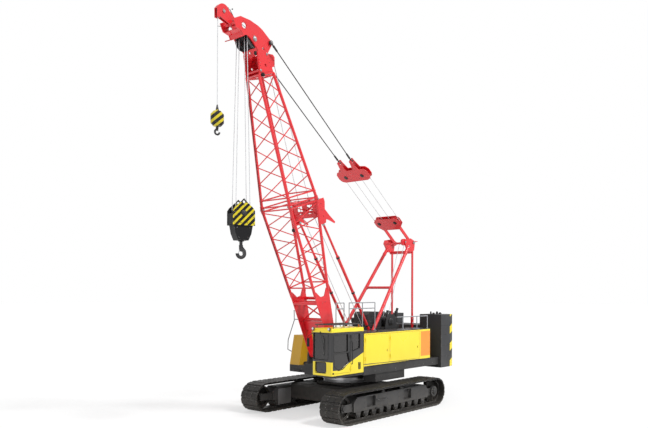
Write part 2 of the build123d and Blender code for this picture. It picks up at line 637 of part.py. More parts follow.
def gantry():
    """Boom hoist gantry: two raked front legs, two upright rear ties, head plates and cross tubes."""
    pieces = []
    head = [(GANTRY_X + 570, GANTRY_Z - 20), (GANTRY_X + 500, GANTRY_Z + 100), (GANTRY_X + 190, GANTRY_Z + 150),
            (GANTRY_X - 40, GANTRY_Z + 75), (GANTRY_X - 85, GANTRY_Z - 20), (GANTRY_X - 40, GANTRY_Z - 280),
            (GANTRY_X + 50, GANTRY_Z - 350), (GANTRY_X + 350, GANTRY_Z - 350)]
    for side in (-1, 1):
        foot = (LEG_FOOT_X, side * LEG_FOOT_Y, LEG_FOOT_Z + 40)
        top = (LEG_TOP[0], side * GANTRY_Y, LEG_TOP[1])
        pieces.append(rod(foot, top, 62))
        y0 = side * (GANTRY_Y - 30)
        y1 = side * (GANTRY_Y + 30)
        pieces.append(side_plate(head, min(y0, y1), max(y0, y1)))
        pieces.append(box(TIE_X - 40, TIE_X + 40, side * (GANTRY_Y - 20), side * (GANTRY_Y + 20),
                          TIE_FOOT_Z, GANTRY_Z - 200))
        pieces.append(box(TIE_X - 55, TIE_X + 55, side * (GANTRY_Y - 30), side * (GANTRY_Y + 30), 2750, 3050))
        pieces.append(box(LEG_FOOT_X - 95, LEG_FOOT_X + 95, side * 668, side * 788, LEG_FOOT_Z - 60, LEG_FOOT_Z + 90))
        pieces.append(cross_pin(GANTRY_X, GANTRY_Z, LINK_PIN_R, side * (LINK_Y - LINK_HALF - 7), side * (GANTRY_Y + 50)))
    share = 0.592
    mid = [LEG_FOOT_X + (LEG_TOP[0] - LEG_FOOT_X) * share, LEG_FOOT_Y + (GANTRY_Y - LEG_FOOT_Y) * share,
           LEG_FOOT_Z + (LEG_TOP[1] - LEG_FOOT_Z) * share]
    pieces.append(rod((mid[0], -mid[1], mid[2]), (mid[0], mid[1], mid[2]), 48))
    pieces.append(cross_pin(GANTRY_X + 550, GANTRY_Z - 10, 125, GANTRY_Y - 90, GANTRY_Y - 5))
    for x, z, radius in ((GANTRY_X + 560, GANTRY_Z - 50, 40), (GANTRY_X + 150, GANTRY_Z - 365, 60)):
        pieces.append(cross_pin(x, z, radius, -GANTRY_Y, GANTRY_Y))
    return joined(pieces)


keep("gantry", gantry())


# ---------------------------------------------------------------- winch drums
def drum(x, z, barrel, flange):
    """Hoist drum between its flanges, with its shaft running in the winch plates."""
    half = WINCH_IN - 20
    pieces = [cross_pin(x, z, barrel, -half, half), cross_pin(x, z, SHAFT_R, -WINCH_OUT - 8, WINCH_OUT + 8)]
    for side in (-1, 1):
        pieces.append(cross_pin(x, z, flange, side * half, side * (half - 30)))
    return joined(pieces)


for drum_name, drum_size in DRUMS.items():
    keep(drum_name, drum(*drum_size))

# ---------------------------------------------------------------- boom
TILT = radians(BOOM_ANGLE)
BOOM = Plane(origin=(FOOT_X, 0, FOOT_Z), x_dir=(cos(TILT), 0, sin(TILT)), z_dir=(-sin(TILT), 0, cos(TILT)))
# along the boom, half width, half depth
STATIONS = [(PLATE_S, 530, 315), (JOINT_S, 622, 612), (HEAD_S, 260, 300)]
CORNERS = [(1, -1), (1, 1), (-1, 1), (-1, -1)]
HEAD_INSIDE = 276
HEAD_OUTSIDE = 306
LUG_LENGTH = 100
BRACE_S = 1200
MAIN_SHAFT_R = 50


def from_boom(s, n):
    """Machine x and z of a point given along and out of the boom."""
    return FOOT_X + s * cos(TILT) - n * sin(TILT), FOOT_Z + s * sin(TILT) + n * cos(TILT)


def corner(s, side, face):
    """Chord centre at a station: side is left or right, face is front or back."""
    index = 0 if s <= JOINT_S else 1
    (s0, w0, d0), (s1, w1, d1) = STATIONS[index], STATIONS[index + 1]
    share = (s - s0) / (s1 - s0)
    return s, side * (w0 + (w1 - w0) * share), face * (d0 + (d1 - d0) * share)


def chord_end(s, other, side, face):
    """Chord centre a little past one end, on the straight line through both ends."""
    _, y0, n0 = corner(s, side, face)
    _, y1, n1 = corner(other, side, face)
    past = (s - other) / abs(s - other) * 30
    share = past / (s - other)
    return s + past, y0 + (y0 - y1) * share, n0 + (n0 - n1) * share


def lattice(s0, s1, laced, panels, frames, lug):
    """Four chords with thick pin ends, cross frames and single zigzag lacing on every face."""
    pieces = []
    for side, face in CORNERS:
        pieces.append(rod(chord_end(s0, s1, side, face), chord_end(s1, s0, side, face), CHORD))
        pieces.append(rod(corner(lug[0], side, face), corner(lug[1], side, face), CHORD + 14))
    step = (laced[1] - laced[0]) / panels
    for number, here in enumerate(CORNERS):
        there = CORNERS[(number + 1) % 4]
        for s in frames:
            pieces.append(hex_rod(corner(s, *here), corner(s, *there), LACING + 6))
        for panel in range(panels):
            start = laced[0] + step * panel
            ends = (there, here) if panel % 2 == 0 else (here, there)
            pieces.append(hex_rod(corner(start, *ends[0]), corner(start + step, *ends[1]), LACING))
    return joined(pieces) & box(s0, s1, -900, 900, -900, 900)


def boom_lower():
    """Lower section: lattice above, plated sides with a scalloped edge below, tapering to the foot lugs."""
    half = STATIONS[0][1]
    pieces = [lattice(PLATE_S - 60, JOINT_S, (PLATE_S + 260, JOINT_S - 110), 6, (PLATE_S + 260, JOINT_S - 60),
                      (JOINT_S - LUG_LENGTH, JOINT_S + LUG_LENGTH))]
    for side in (-1, 1):
        y0 = side * (half - 15)
        y1 = side * (half + 15)
        plate = side_plate([(-95, -60), (-60, -100), (300, -150), (PLATE_S + 40, -350), (PLATE_S + 90, -250),
                            (PLATE_S - 130, -90), (PLATE_S - 130, 90), (PLATE_S + 90, 250), (PLATE_S + 40, 350),
                            (300, 150), (-60, 100), (-95, 60)], min(y0, y1), max(y0, y1))
        pieces.append(plate)
        pieces.append(cross_pin(0, 0, 100, side * (half - 40), side * FOOT_Y))
        pieces.append(cross_pin(0, 0, FOOT_PIN_R, side * (half - 50), side * (FOOT_Y + 85)))
        pieces.append(box(600, BRACE_S, side * (half - 50), side * half, -130, 130))
    for s, n, radius in ((PLATE_S - 280, -270, 52), (PLATE_S - 280, 270, 52), (BRACE_S + 60, 0, 45),
                         (PLATE_S - 320, 0, 45)):
        pieces.append(cross_pin(s, n, radius, -half, half))
    pieces.append(box(BRACE_S - 320, BRACE_S, -half, half, -45, 45))
    for side in (-1, 1):
        pieces.append(hex_rod((BRACE_S + 60, -side * (half - 20), 0), (PLATE_S - 320, side * (half - 20), 0), 26))
    return joined(pieces)


lower_section = boom_lower()
keep("boom_lower", BOOM * lower_section)
keep("boom_upper", BOOM * lattice(JOINT_S, HEAD_S, (JOINT_S + 270, HEAD_S - 40), 7,
                                  (JOINT_S + 50, JOINT_S + 270, HEAD_S - 40), (JOINT_S - LUG_LENGTH, JOINT_S + LUG_LENGTH)))

# outline of the head side plates from the front foot round the nose to the rear foot
HEAD_PLATE = [(HEAD_S, -338), (HEAD_S + 60, -300), (9650, -210), (9700, -180), (10020, -355), (10120, -440),
              (10120, -590), (10230, -600), (10340, -790), (10580, -824), (10640, -540), (10520, -195), (10360, 74),
              (10250, 200), (PENDANT_S + 75, PENDANT_N + 40), (PENDANT_S, PENDANT_N + 78),
              (PENDANT_S - 75, PENDANT_N + 40), (9600, 226), (HEAD_S + 60, 262), (HEAD_S, 338)]
DOUBLER = [(HEAD_S + 60, -288), (9650, -198), (9700, -168), (10010, -338), (10100, -430), (10168, 11), (HEAD_S + 60, 250)]
NOSE_PLATE = [(10100, -580), (10225, -590), (10310, -738), (10336, -723), (10250, -560), (10100, -545)]
DEFLECTOR = [(9190, 215), (9205, 470), (9260, 520), (9480, 585), (9560, 540), (9620, 215)]
CHIN = [(10653, -1088), (10683, -1181), (10946, -1102), (10957, -1009)]
AUX_NECK = [(10450, -730), (10560, -900), (AUX_SHEAVE_S - 190, AUX_SHEAVE_N - 90), (AUX_SHEAVE_S, AUX_SHEAVE_N),
            (AUX_SHEAVE_S + 20, AUX_SHEAVE_N + 212), (10640, -545), (10560, -400), (10450, -430)]
AUX_CHEEK_IN = 46
AUX_CHEEK_OUT = 66
AUX_CHEEK_R = 214


def aux_bracket():
    """Two narrow cheeks that carry the auxiliary sheave, with a curved rope guard over its front."""
    pieces = []
    for side in (-1, 1):
        y0 = min(side * AUX_CHEEK_IN, side * AUX_CHEEK_OUT)
        y1 = max(side * AUX_CHEEK_IN, side * AUX_CHEEK_OUT)
        cheek = cross_pin(AUX_SHEAVE_S, AUX_SHEAVE_N, AUX_CHEEK_R, y0, y1)
        pieces.append(cheek + side_plate(AUX_NECK, y0, y1) + side_plate(CHIN, y0, y1))
    guard = ring(AUX_SHEAVE_S, AUX_SHEAVE_N, AUX_CHEEK_R, AUX_CHEEK_R - 14, -AUX_CHEEK_IN - 2, AUX_CHEEK_IN + 2)
    pieces.append(guard & box(AUX_SHEAVE_S + 100, AUX_SHEAVE_S + 300, -60, 60, AUX_SHEAVE_N - 200, AUX_SHEAVE_N + 150))
    pieces.append(cross_pin(AUX_SHEAVE_S, AUX_SHEAVE_N, 45, -AUX_CHEEK_OUT - 12, AUX_CHEEK_OUT + 12))
    return pieces


def boom_head():
    """Bent head: two side plates with doublers, cross tubes, the sheave shafts and the auxiliary bracket."""
    pieces = aux_bracket()
    for side in (-1, 1):
        y0 = side * HEAD_INSIDE
        y1 = side * HEAD_OUTSIDE
        y2 = side * (HEAD_OUTSIDE + 12)
        plate = side_plate(HEAD_PLATE, min(y0, y1), max(y0, y1)) + side_plate(DOUBLER, min(y1, y2), max(y1, y2))
        for s, n, radius in ((JIB_HOLE_S, JIB_HOLE_N, JIB_HOLE_R), (9250, 0, 40), (9720, 60, 40)):
            plate = plate - cross_pin(s, n, radius, -400, 400)
        pieces.append(plate)
        pieces.append(rod((10120, side * 290, -560), (10080, side * 290, -790), 14))
        pieces.append(side_plate(DEFLECTOR, side * 150, side * 175))
    for s, n, radius in ((9120, -240, 40), (9560, 150, 45), (10300, -40, 45), (10480, -700, 40),
                         (MAIN_SHEAVE_S, MAIN_SHEAVE_N, MAIN_SHAFT_R)):
        pieces.append(cross_pin(s, n, radius, -HEAD_INSIDE - 2, HEAD_INSIDE + 2))
    pieces.append(cross_pin(MAIN_SHEAVE_S, MAIN_SHEAVE_N, MAIN_SHAFT_R + 25, HEAD_OUTSIDE, HEAD_OUTSIDE + 20))
    pieces.append(cross_pin(MAIN_SHEAVE_S, MAIN_SHEAVE_N, MAIN_SHAFT_R + 25, -HEAD_OUTSIDE - 20, -HEAD_OUTSIDE))
    pieces.append(cross_pin(9400, 500, 42, -152, 152))
    pieces.append(box(HEAD_S, HEAD_S + 26, -HEAD_INSIDE, HEAD_INSIDE, -336, 336))
    pieces.append(box(HEAD_S, 9620, -HEAD_INSIDE, HEAD_INSIDE, 200, 226))
    pieces.append(side_plate(NOSE_PLATE, -HEAD_INSIDE, HEAD_INSIDE))
    pieces.append(box(10480, 10500, -HEAD_INSIDE, HEAD_INSIDE, -780, -420))
    return joined(pieces)


keep("boom_head", BOOM * boom_head())


def sheave(s, n, y, radius, bore, width):
    """Grooved rope wheel turned about its shaft: hub, thin web and a rim with a V groove."""
    half = width / 2
    rim = radius + 26
    floor = radius - ROPE - SEAT
    profile = [(bore, -half), (bore + 45, -half), (bore + 45, -10), (radius - 40, -10), (radius - 40, -half), (rim, -half),
               (floor, -ROPE), (floor, ROPE), (rim, half), (radius - 40, half), (radius - 40, 10), (bore + 45, 10),
               (bore + 45, half), (bore, half)]
    face = make_face(Polyline([(r, across, 0) for r, across in profile], close=True))
    return Pos(s, y, n) * revolve(face, Axis.Y)


MAIN_ROPE_Y = (-240, -120, 120, 240)
SHEAVE_WIDTH = 62
keep("head_sheaves", BOOM * Compound(children=[
    sheave(MAIN_SHEAVE_S, MAIN_SHEAVE_N, y, MAIN_SHEAVE_R, MAIN_SHAFT_R + PIN_PLAY, SHEAVE_WIDTH) for y in MAIN_ROPE_Y]))
keep("aux_sheave", BOOM * sheave(AUX_SHEAVE_S, AUX_SHEAVE_N, 0, AUX_SHEAVE_R, 45 + PIN_PLAY, SHEAVE_WIDTH))


GUIDE_IN = 592
GUIDE_OUT = 620
GUIDE_CHEEK = [(STOP_S - 80, 560), (JOINT_S - 30, 615), (JOINT_S - 30, 930), (JOINT_S - 150, 950), (STOP_S + 350, 880),
               (STOP_S + 90, 1050), (STOP_S - 150, 1240), (STOP_S - 190, 1200), (STOP_S - 30, 970), (STOP_S + 30, 850),
               (STOP_S - 80, 800)]
GUIDE_LOW = STOP_S + 150
GUIDE_HIGH = JOINT_S - 40


def boom_guide_frame():
    """Frame behind the boom joint: horned cheeks that take the backstops, a slotted plate and rope rollers."""
    pieces = []
    for side in (-1, 1):
        cheek = side_plate(GUIDE_CHEEK, GUIDE_IN, GUIDE_OUT)
        pieces.append(cheek if side > 0 else mirror(cheek, about=Plane.XZ))
    plate = box(GUIDE_LOW, GUIDE_HIGH, -GUIDE_IN, GUIDE_IN, 615, 640)
    for side in (-1, 1):
        plate = plate - box(GUIDE_LOW + 130, GUIDE_HIGH - 130, side * 110, side * 340, 600, 660)
        pieces.append(cross_pin(GUIDE_LOW + 190, 640, 34, side * 100, side * 350))
    pieces.append(plate)
    pieces.append(box(GUIDE_LOW, GUIDE_LOW + 30, -GUIDE_IN, GUIDE_IN, 615, 860))
    pieces.append(box(GUIDE_HIGH - 30, GUIDE_HIGH, -GUIDE_IN, GUIDE_IN, 615, 930))
    for side in (-1, 1):
        pieces.append(hex_rod((GUIDE_LOW + 15, -side * GUIDE_IN, 840), (GUIDE_HIGH - 15, side * GUIDE_IN, 840), 26))
    return joined(pieces)


keep("boom_guide_frame", BOOM * (boom_guide_frame() - lower_section))

# ---------------------------------------------------------------- boom hoist rigging
PENDANT_X, PENDANT_Z = from_boom(PENDANT_S, PENDANT_N)
LINE_LENGTH = hypot(PENDANT_X - GANTRY_X, PENDANT_Z - GANTRY_Z)
LINE_TILT = atan2(PENDANT_Z - GANTRY_Z, PENDANT_X - GANTRY_X)
LINE = Plane(origin=(GANTRY_X, 0, GANTRY_Z), x_dir=(cos(LINE_TILT), 0, sin(LINE_TILT)),
             z_dir=(-sin(LINE_TILT), 0, cos(LINE_TILT)))
LOWER_SHEAVE = 1200
UPPER_SHEAVE = 3620
PENDANT_LUG = 4270
RIG_SHEAVE_R = 200
RIG_SHEAVE_Y = 365
CHEEK_IN = 64
CHEEK_OUT = 80
SOCKET_R = 30
EYE_HALF = 20
PENDANT_PIN_R = 26
PENDANT_Y = HEAD_OUTSIDE + SOCKET_R + 14
# half outlines of the spreader cheeks: distance along the line and half width
LOWER_CHEEK = [(850, 380), (LOWER_SHEAVE - 150, 560), (LOWER_SHEAVE + 100, 560), (LOWER_SHEAVE + 220, 450)]
UPPER_CHEEK = [(UPPER_SHEAVE - 220, 500), (UPPER_SHEAVE - 160, 640), (UPPER_SHEAVE - 40, 700), (UPPER_SHEAVE + 160, 690),
               (UPPER_SHEAVE + 270, 600), (UPPER_SHEAVE + 300, SPREADER_Y + 120), (PENDANT_LUG - 40, SPREADER_Y + 52),
               (PENDANT_LUG + 30, SPREADER_Y + 48), (PENDANT_LUG + 52, SPREADER_Y), (PENDANT_LUG + 30, SPREADER_Y - 48),
               (PENDANT_LUG - 40, SPREADER_Y - 52), (UPPER_SHEAVE + 300, SPREADER_Y - 120)]


def flat_plate(points, n0, n1):
    """Outline of (along, across) points in the plane of the rigging line, thickened square to it."""
    return extrude(make_face(Polyline([(d, y, n0) for d, y in points], close=True)), amount=n1 - n0, dir=(0, 0, 1))


def spreader(half_outline, sheave_at):
    """Two like cheeks with two flat-lying rope wheels between them."""
    outline = half_outline + [(d, -y) for d, y in reversed(half_outline)]
    pieces = [flat_plate(outline, CHEEK_IN, CHEEK_OUT), flat_plate(outline, -CHEEK_OUT, -CHEEK_IN)]
    for side in (-1, 1):
        wheel = Cylinder(RIG_SHEAVE_R, 56) - (Cylinder(RIG_SHEAVE_R + 5, 22) - Cylinder(RIG_SHEAVE_R - 18, 22))
        pieces.append(Pos(sheave_at, side * RIG_SHEAVE_Y, 0) * (wheel + Cylinder(48, 2 * CHEEK_IN + 50)))
    return pieces


def lower_spreader():
    """Spreader held by two links to the gantry head pins."""
    pieces = spreader(LOWER_CHEEK, LOWER_SHEAVE)
    for side in (-1, 1):
        y0 = min(side * (LINK_Y - LINK_HALF), side * (LINK_Y + LINK_HALF))
        y1 = max(side * (LINK_Y - LINK_HALF), side * (LINK_Y + LINK_HALF))
        link = box(0, 900, y0, y1, -60, 60) + cross_pin(0, 0, 85, y0, y1)
        root = box(860, 900, y0 - 10, y1 + 10, -CHEEK_IN - 5, CHEEK_IN + 5)
        pieces.append(link + root - cross_pin(0, 0, LINK_PIN_R + PIN_PLAY, y0 - 1, y1 + 1))
    return joined(pieces)


keep("lower_spreader", LINE * lower_spreader())


def upper_spreader():
    """Spreader with two pairs of lugs and pins for the pendants."""
    pieces = spreader(UPPER_CHEEK, UPPER_SHEAVE)
    for side in (-1, 1):
        at = Pos(PENDANT_LUG, side * SPREADER_Y, 0)
        pieces.append(at * Cylinder(PENDANT_PIN_R, 2 * CHEEK_OUT + 20))
        for face in (-1, 1):
            collar = CHEEK_IN - EYE_HALF - SEAT
            pieces.append(at * Pos(0, 0, face * (CHEEK_IN - collar / 2)) * Cylinder(PENDANT_PIN_R + 12, collar))
    return joined(pieces)


keep("upper_spreader", LINE * upper_spreader())
# rods of a pendant: start and end measured from its two pins, and radius
PENDANT_RODS = [(45, 140, 22), (110, 300, SOCKET_R)]


def pendants():
    """Two wire pendants with their sockets and eyes."""
    solids = []
    for side in (-1, 1):
        low = Vector(PENDANT_LUG, side * SPREADER_Y, 0)
        high = Vector(LINE_LENGTH, side * PENDANT_Y, 0)
        line = (high - low) / (high.X - low.X)
        eye = Cylinder(56, 2 * EYE_HALF) - Cylinder(PENDANT_PIN_R + SEAT, 2 * EYE_HALF + 2)
        pieces = [Pos(low.X, low.Y, 0) * eye]
        for start, stop, radius in PENDANT_RODS:
            pieces.append(rod(low + line * start, low + line * stop, radius))
            pieces.append(rod(high - line * start, high - line * stop, radius))
        pieces.append(rod(low + line * 250, high - line * 250, 15))
        pieces.append(cross_pin(high.X, 0, 62, side * (HEAD_OUTSIDE + SEAT), side * (PENDANT_Y + 24)))
        solids.append(joined(pieces))
    return Compound(children=solids)


keep("pendants", LINE * pendants())

# ---------------------------------------------------------------- backstops
STOP_X, STOP_Z = from_boom(STOP_S, STOP_N)
STOP_LENGTH = hypot(STOP_X - STOP_FOOT_X, STOP_Z - STOP_FOOT_Z)
STOP_TILT = atan2(STOP_Z - STOP_FOOT_Z, STOP_X - STOP_FOOT_X)
STOP = Plane(origin=(STOP_FOOT_X, 0, STOP_FOOT_Z), x_dir=(cos(STOP_TILT), 0, sin(STOP_TILT)),
             z_dir=(-sin(STOP_TILT), 0, cos(STOP_TILT)))
TUBE_END = 3050
TUBE_BORE = 38
ROD_START = 750


def backstop_tubes():
    """Outer tubes pinned to the winch plates."""
    solids = []
    for side in (-1, 1):
        y = side * STOP_Y
        tube = rod((130, y, 0), (TUBE_END, y, 0), 50) - rod((400, y, 0), (TUBE_END + 1, y, 0), TUBE_BORE)
        foot = box(0, 200, y - 25, y + 25, -45, 45) + cross_pin(0, 0, 60, y - 25, y + 25)
        foot = foot + cross_pin(0, 0, STOP_PIN_R, y, side * (WINCH_OUT + 8))
        solids.append(tube + foot)
    return Compound(children=solids)


def backstop_rods():
    """Inner rods, each with its eye at the boom."""
    solids = []
    for side in (-1, 1):
        y = side * STOP_Y
        bar = rod((ROD_START, y, 0), (STOP_LENGTH - 40, y, 0), TUBE_BORE - SEAT)
        eye = cross_pin(STOP_LENGTH, 0, 55, y - 28, y + 28)
        solids.append(bar + eye + cross_pin(STOP_LENGTH, 0, 28, y, side * (GUIDE_IN - SEAT)))
    return Compound(children=solids)


keep("backstop_tubes", STOP * backstop_tubes())
keep("backstop_rods", STOP * backstop_rods())

# ---------------------------------------------------------------- hoist falls and hooks
HEAD_X, HEAD_Z = from_boom(MAIN_SHEAVE_S, MAIN_SHEAVE_N)
AUX_X, AUX_Z = from_boom(AUX_SHEAVE_S, AUX_SHEAVE_N)
BLOCK_SHEAVE_R = 226
BLOCK_SHEAVE_Y = (-125, 125)
BLOCK_CHEEK_IN = 178
BLOCK_CHEEK_OUT = 206
BLOCK_SHEAVE_Z = 6260
BLOCK = Pos(BLOCK_X, 0, 0) * Rot(0, 0, BLOCK_TURN)


def in_block(x, y):
    """Machine x and y of a point given in the turned block."""
    turn = radians(BLOCK_TURN)
    return BLOCK_X + x * cos(turn) - y * sin(turn), x * sin(turn) + y * cos(turn)


def main_falls():
    """Four parts of rope from the head sheaves down to the block."""
    ends = [(BLOCK_SHEAVE_R, BLOCK_SHEAVE_Y[0]), (BLOCK_SHEAVE_R, BLOCK_SHEAVE_Y[1]),
            (-BLOCK_SHEAVE_R, BLOCK_SHEAVE_Y[0]), (-BLOCK_SHEAVE_R, BLOCK_SHEAVE_Y[1])]
    parts = []
    for y, end in zip(MAIN_ROPE_Y, ends):
        x, low_y = in_block(*end)
        bend = (HEAD_X + MAIN_SHEAVE_R, y, HEAD_Z - 250)
        parts.append(joined([rod((x, low_y, BLOCK_SHEAVE_Z), bend, ROPE), Pos(*bend) * Sphere(ROPE + 3),
                             rod(bend, (bend[0], y, HEAD_Z), ROPE)]))
    return Compound(children=parts)


def main_block():
    """Hook block: striped cheek plates over two rope wheels, a tapered weight and the swivel bore."""
    z = BLOCK_SHEAVE_Z
    cheek = [(-345, z - 350), (-345, z + 85), (-285, z + 170), (-115, z + 305), (0, z + 425), (115, z + 305),
             (285, z + 150), (345, z + 60), (345, z - 350)]
    pieces = []
    for side in (-1, 1):
        plate = side_plate(cheek, side * BLOCK_CHEEK_IN, side * BLOCK_CHEEK_OUT)
        pieces.append(plate - cross_pin(0, z + 322, 42, -300, 300))
        pieces.append(box(side * 338, side * 300, -BLOCK_CHEEK_IN - 2, BLOCK_CHEEK_IN + 2, z - 345, z - 20))
    weight = [(-300, z - 320), (300, z - 320), (250, z - 590), (165, z - 780), (-165, z - 780), (-250, z - 590)]
    pieces.append(side_plate(weight, 12 - BLOCK_CHEEK_IN, BLOCK_CHEEK_IN - 12))
    pieces.append(box(-255, 255, -BLOCK_CHEEK_IN - 2, BLOCK_CHEEK_IN + 2, z - 345, z - 300))
    pieces.append(cross_pin(0, z, 50, -BLOCK_CHEEK_OUT - 15, BLOCK_CHEEK_OUT + 15))
    for y in BLOCK_SHEAVE_Y:
        wheel = cross_pin(0, z, BLOCK_SHEAVE_R + 25, y - 30, y + 30)
        pieces.append(wheel - ring(0, z, BLOCK_SHEAVE_R + 30, BLOCK_SHEAVE_R - ROPE - SEAT, y - 17, y + 17))
    pieces.append(cross_pin(0, z + 262, 20, -BLOCK_CHEEK_OUT, BLOCK_CHEEK_OUT))
    return joined(pieces) - Pos(0, 0, z - 700) * Cylinder(46 + PIN_PLAY, 170)


def hook(top, bowl, shank, eye, bar):
    """Swivel hook: shank, deep flat back and round bowl with its tip, its lowest point at a given height."""
    centre = bowl + eye + bar * 2
    reach = eye + bar * 2
    stem = Pos(0, 0, (top + centre + eye) / 2) * Cylinder(shank, top - centre - eye)
    collar = Pos(0, 0, centre + reach + bar) * Cylinder(shank * 1.3, bar)
    section = Plane(origin=(0, 0, centre - eye - bar), z_dir=(1, 0, 0)) * RegularPolygon(bar, 10)
    bowl_ring = revolve(section, Axis((0, 0, centre), (0, 1, 0)), 90)
    bowl_ring = bowl_ring + revolve(section, Axis((0, 0, centre), (0, -1, 0)), 195)
    back = [(-shank, reach + bar * 0.6), (shank, reach + bar * 0.6), (reach - bar * 0.5, reach * 0.55),
            (reach - bar * 0.3, 0), (eye + 2, 0), (eye + 2, eye * 0.7), (0, eye + 4), (-shank, eye + bar)]
    body = side_plate([(x, centre + z) for x, z in back], -bar * 0.75, bar * 0.75)
    return joined([stem, collar, bowl_ring, body])


keep("main_falls", main_falls())
keep("main_block", BLOCK * main_block())
HOOK_TOP = BLOCK_SHEAVE_Z - 620
keep("main_hook", BLOCK * Rot(0, 0, 180) * hook(HOOK_TOP, 4935, 46, 62, 52))


def aux_falls():
    """Single part of rope to the auxiliary hook."""
    x = AUX_X + AUX_SHEAVE_R
    return rod((x, 0, AUX_HOOK_LUG - 40), (x, 0, AUX_Z - 1), ROPE)


def aux_ball():
    """Weight above the auxiliary hook, eight sided with tapered ends and a rope socket."""
    low = AUX_HOOK_LUG - 520
    outline = [(0, low), (110, low), (185, low + 90), (185, low + 330), (110, low + 420), (48, low + 430),
               (40, low + 480), (0, low + 480)]
    face = make_face(Polyline([(x, 0, z) for x, z in outline], close=True))
    body = revolve(face, Axis.Z)
    body = body - Pos(0, 0, low + 60) * Cylinder(30 + PIN_PLAY, 130)
    return body


AUX_PLACE = Pos(AUX_X + AUX_SHEAVE_R, 0, 0)
keep("aux_falls", aux_falls())
keep("aux_ball", AUX_PLACE * aux_ball())
keep("aux_hook", AUX_PLACE * Rot(0, 0, BLOCK_TURN) * hook(AUX_HOOK_LUG - 520 + 120, 8370, 30, 40, 27))

# ---------------------------------------------------------------- handrails
RAIL = 17


def rail(points):
    """Bent tube handrail through a list of corners."""
    return joined([rod(a, b, RAIL) for a, b in zip(points, points[1:])])


RAIL_Y = HOUSE_IN + 100
RAIL_TOP = 3640


def handrails():
    """Rails on the cab and house roofs and the grab rail beside the front box."""
    cab = [rail([(1570, RAIL_Y, CAB_TOP), (1570, RAIL_Y, RAIL_TOP), (1180, RAIL_Y, RAIL_TOP), (1180, RAIL_Y, CAB_TOP)]),
           rail([(1570, RAIL_Y, RAIL_TOP - 190), (1180, RAIL_Y, RAIL_TOP - 190)])]
    front = DECK_NOSE - 50
    roof = [rail([(front, RAIL_Y, HOUSE_TOP), (front, RAIL_Y, RAIL_TOP), (-420, RAIL_Y, RAIL_TOP),
                  (-420, RAIL_Y, HOUSE_TOP)]),
            rail([(front, RAIL_Y, RAIL_TOP - 190), (-420, RAIL_Y, RAIL_TOP - 190)]),
            rail([(250, RAIL_Y, HOUSE_TOP), (250, RAIL_Y, RAIL_TOP)])]
    edge = HOUSE_OUT - 80
    low = HOUSE_TOP + 450
    rear = [rail([(-880, edge, low), (HOUSE_REAR + 60, edge, low), (HOUSE_REAR + 60, edge, HOUSE_TOP)])]
    for x in (-1230, -2070):
        rear.append(rail([(x, edge, HOUSE_TOP), (x, edge, low)]))
    x = BASE_FRONT - 10
    out = -HOUSE_OUT
    grab = [rail([(x - 110, out, 1930), (x - 110, out - 60, 1930), (x, out - 110, 2000), (x, out - 95, 2320),
                  (x, out + 55, 2680), (x, out + 205, 3020), (x, out + 195, 3370)]),
            rail([(x, out + 205, 3050), (x, out + 395, 3050), (x - 250, out + 395, 2900),
                  (x - 250, out + 395, FRONT_BOX_TOP)])]
    return Compound(children=[joined(cab), joined(roof), joined(rear), joined(grab)])


keep("handrails", handrails())

# ---------------------------------------------------------------- write the pieces
if __name__ == "__main__":
    os.makedirs("parts", exist_ok=True)
    for part_name, part_shape in PARTS.items():
        export_step(part_shape, f"parts/{part_name}.step")
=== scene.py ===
# %% [markdown]
# # Crawler crane
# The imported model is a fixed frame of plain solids. This lesson dresses it: paints that show wear
# and dust, laid wire rope, glass with rubber seals, track links, bolts, lamps and small fittings.
# All lengths are in metres, with x forward, y to the machine's left and z up.

# %% Load the frame
import json
from functools import partial
from math import atan2, cos, hypot, pi, radians, sin

import bpy
import numpy as np
from mathutils import Matrix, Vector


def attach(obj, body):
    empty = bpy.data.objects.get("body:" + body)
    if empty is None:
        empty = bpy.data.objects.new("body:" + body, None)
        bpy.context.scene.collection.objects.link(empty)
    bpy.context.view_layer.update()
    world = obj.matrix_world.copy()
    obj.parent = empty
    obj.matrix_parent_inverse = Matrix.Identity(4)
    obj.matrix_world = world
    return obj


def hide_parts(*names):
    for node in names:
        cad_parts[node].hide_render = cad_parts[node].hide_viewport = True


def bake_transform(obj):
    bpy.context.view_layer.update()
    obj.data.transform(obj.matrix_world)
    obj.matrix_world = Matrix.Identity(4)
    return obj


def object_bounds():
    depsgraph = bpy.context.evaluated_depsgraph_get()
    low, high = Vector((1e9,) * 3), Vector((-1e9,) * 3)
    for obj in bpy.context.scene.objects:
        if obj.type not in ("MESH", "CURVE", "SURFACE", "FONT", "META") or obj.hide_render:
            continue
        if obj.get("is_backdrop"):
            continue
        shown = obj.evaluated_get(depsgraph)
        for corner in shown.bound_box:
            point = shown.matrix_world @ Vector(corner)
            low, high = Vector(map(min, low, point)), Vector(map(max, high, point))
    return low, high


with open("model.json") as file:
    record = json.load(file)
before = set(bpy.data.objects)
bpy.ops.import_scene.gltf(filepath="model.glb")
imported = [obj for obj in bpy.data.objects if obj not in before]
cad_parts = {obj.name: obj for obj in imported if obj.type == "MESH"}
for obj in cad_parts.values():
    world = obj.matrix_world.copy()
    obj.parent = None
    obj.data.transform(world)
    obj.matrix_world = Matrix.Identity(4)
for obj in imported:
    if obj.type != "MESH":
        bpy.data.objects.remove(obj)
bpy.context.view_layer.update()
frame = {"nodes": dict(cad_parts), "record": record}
nodes = frame["nodes"]

# %% [markdown]
# ## Camera
# The view is from ahead and to the left of the machine at eye height, a little shifted so that the
# verticals stay upright.

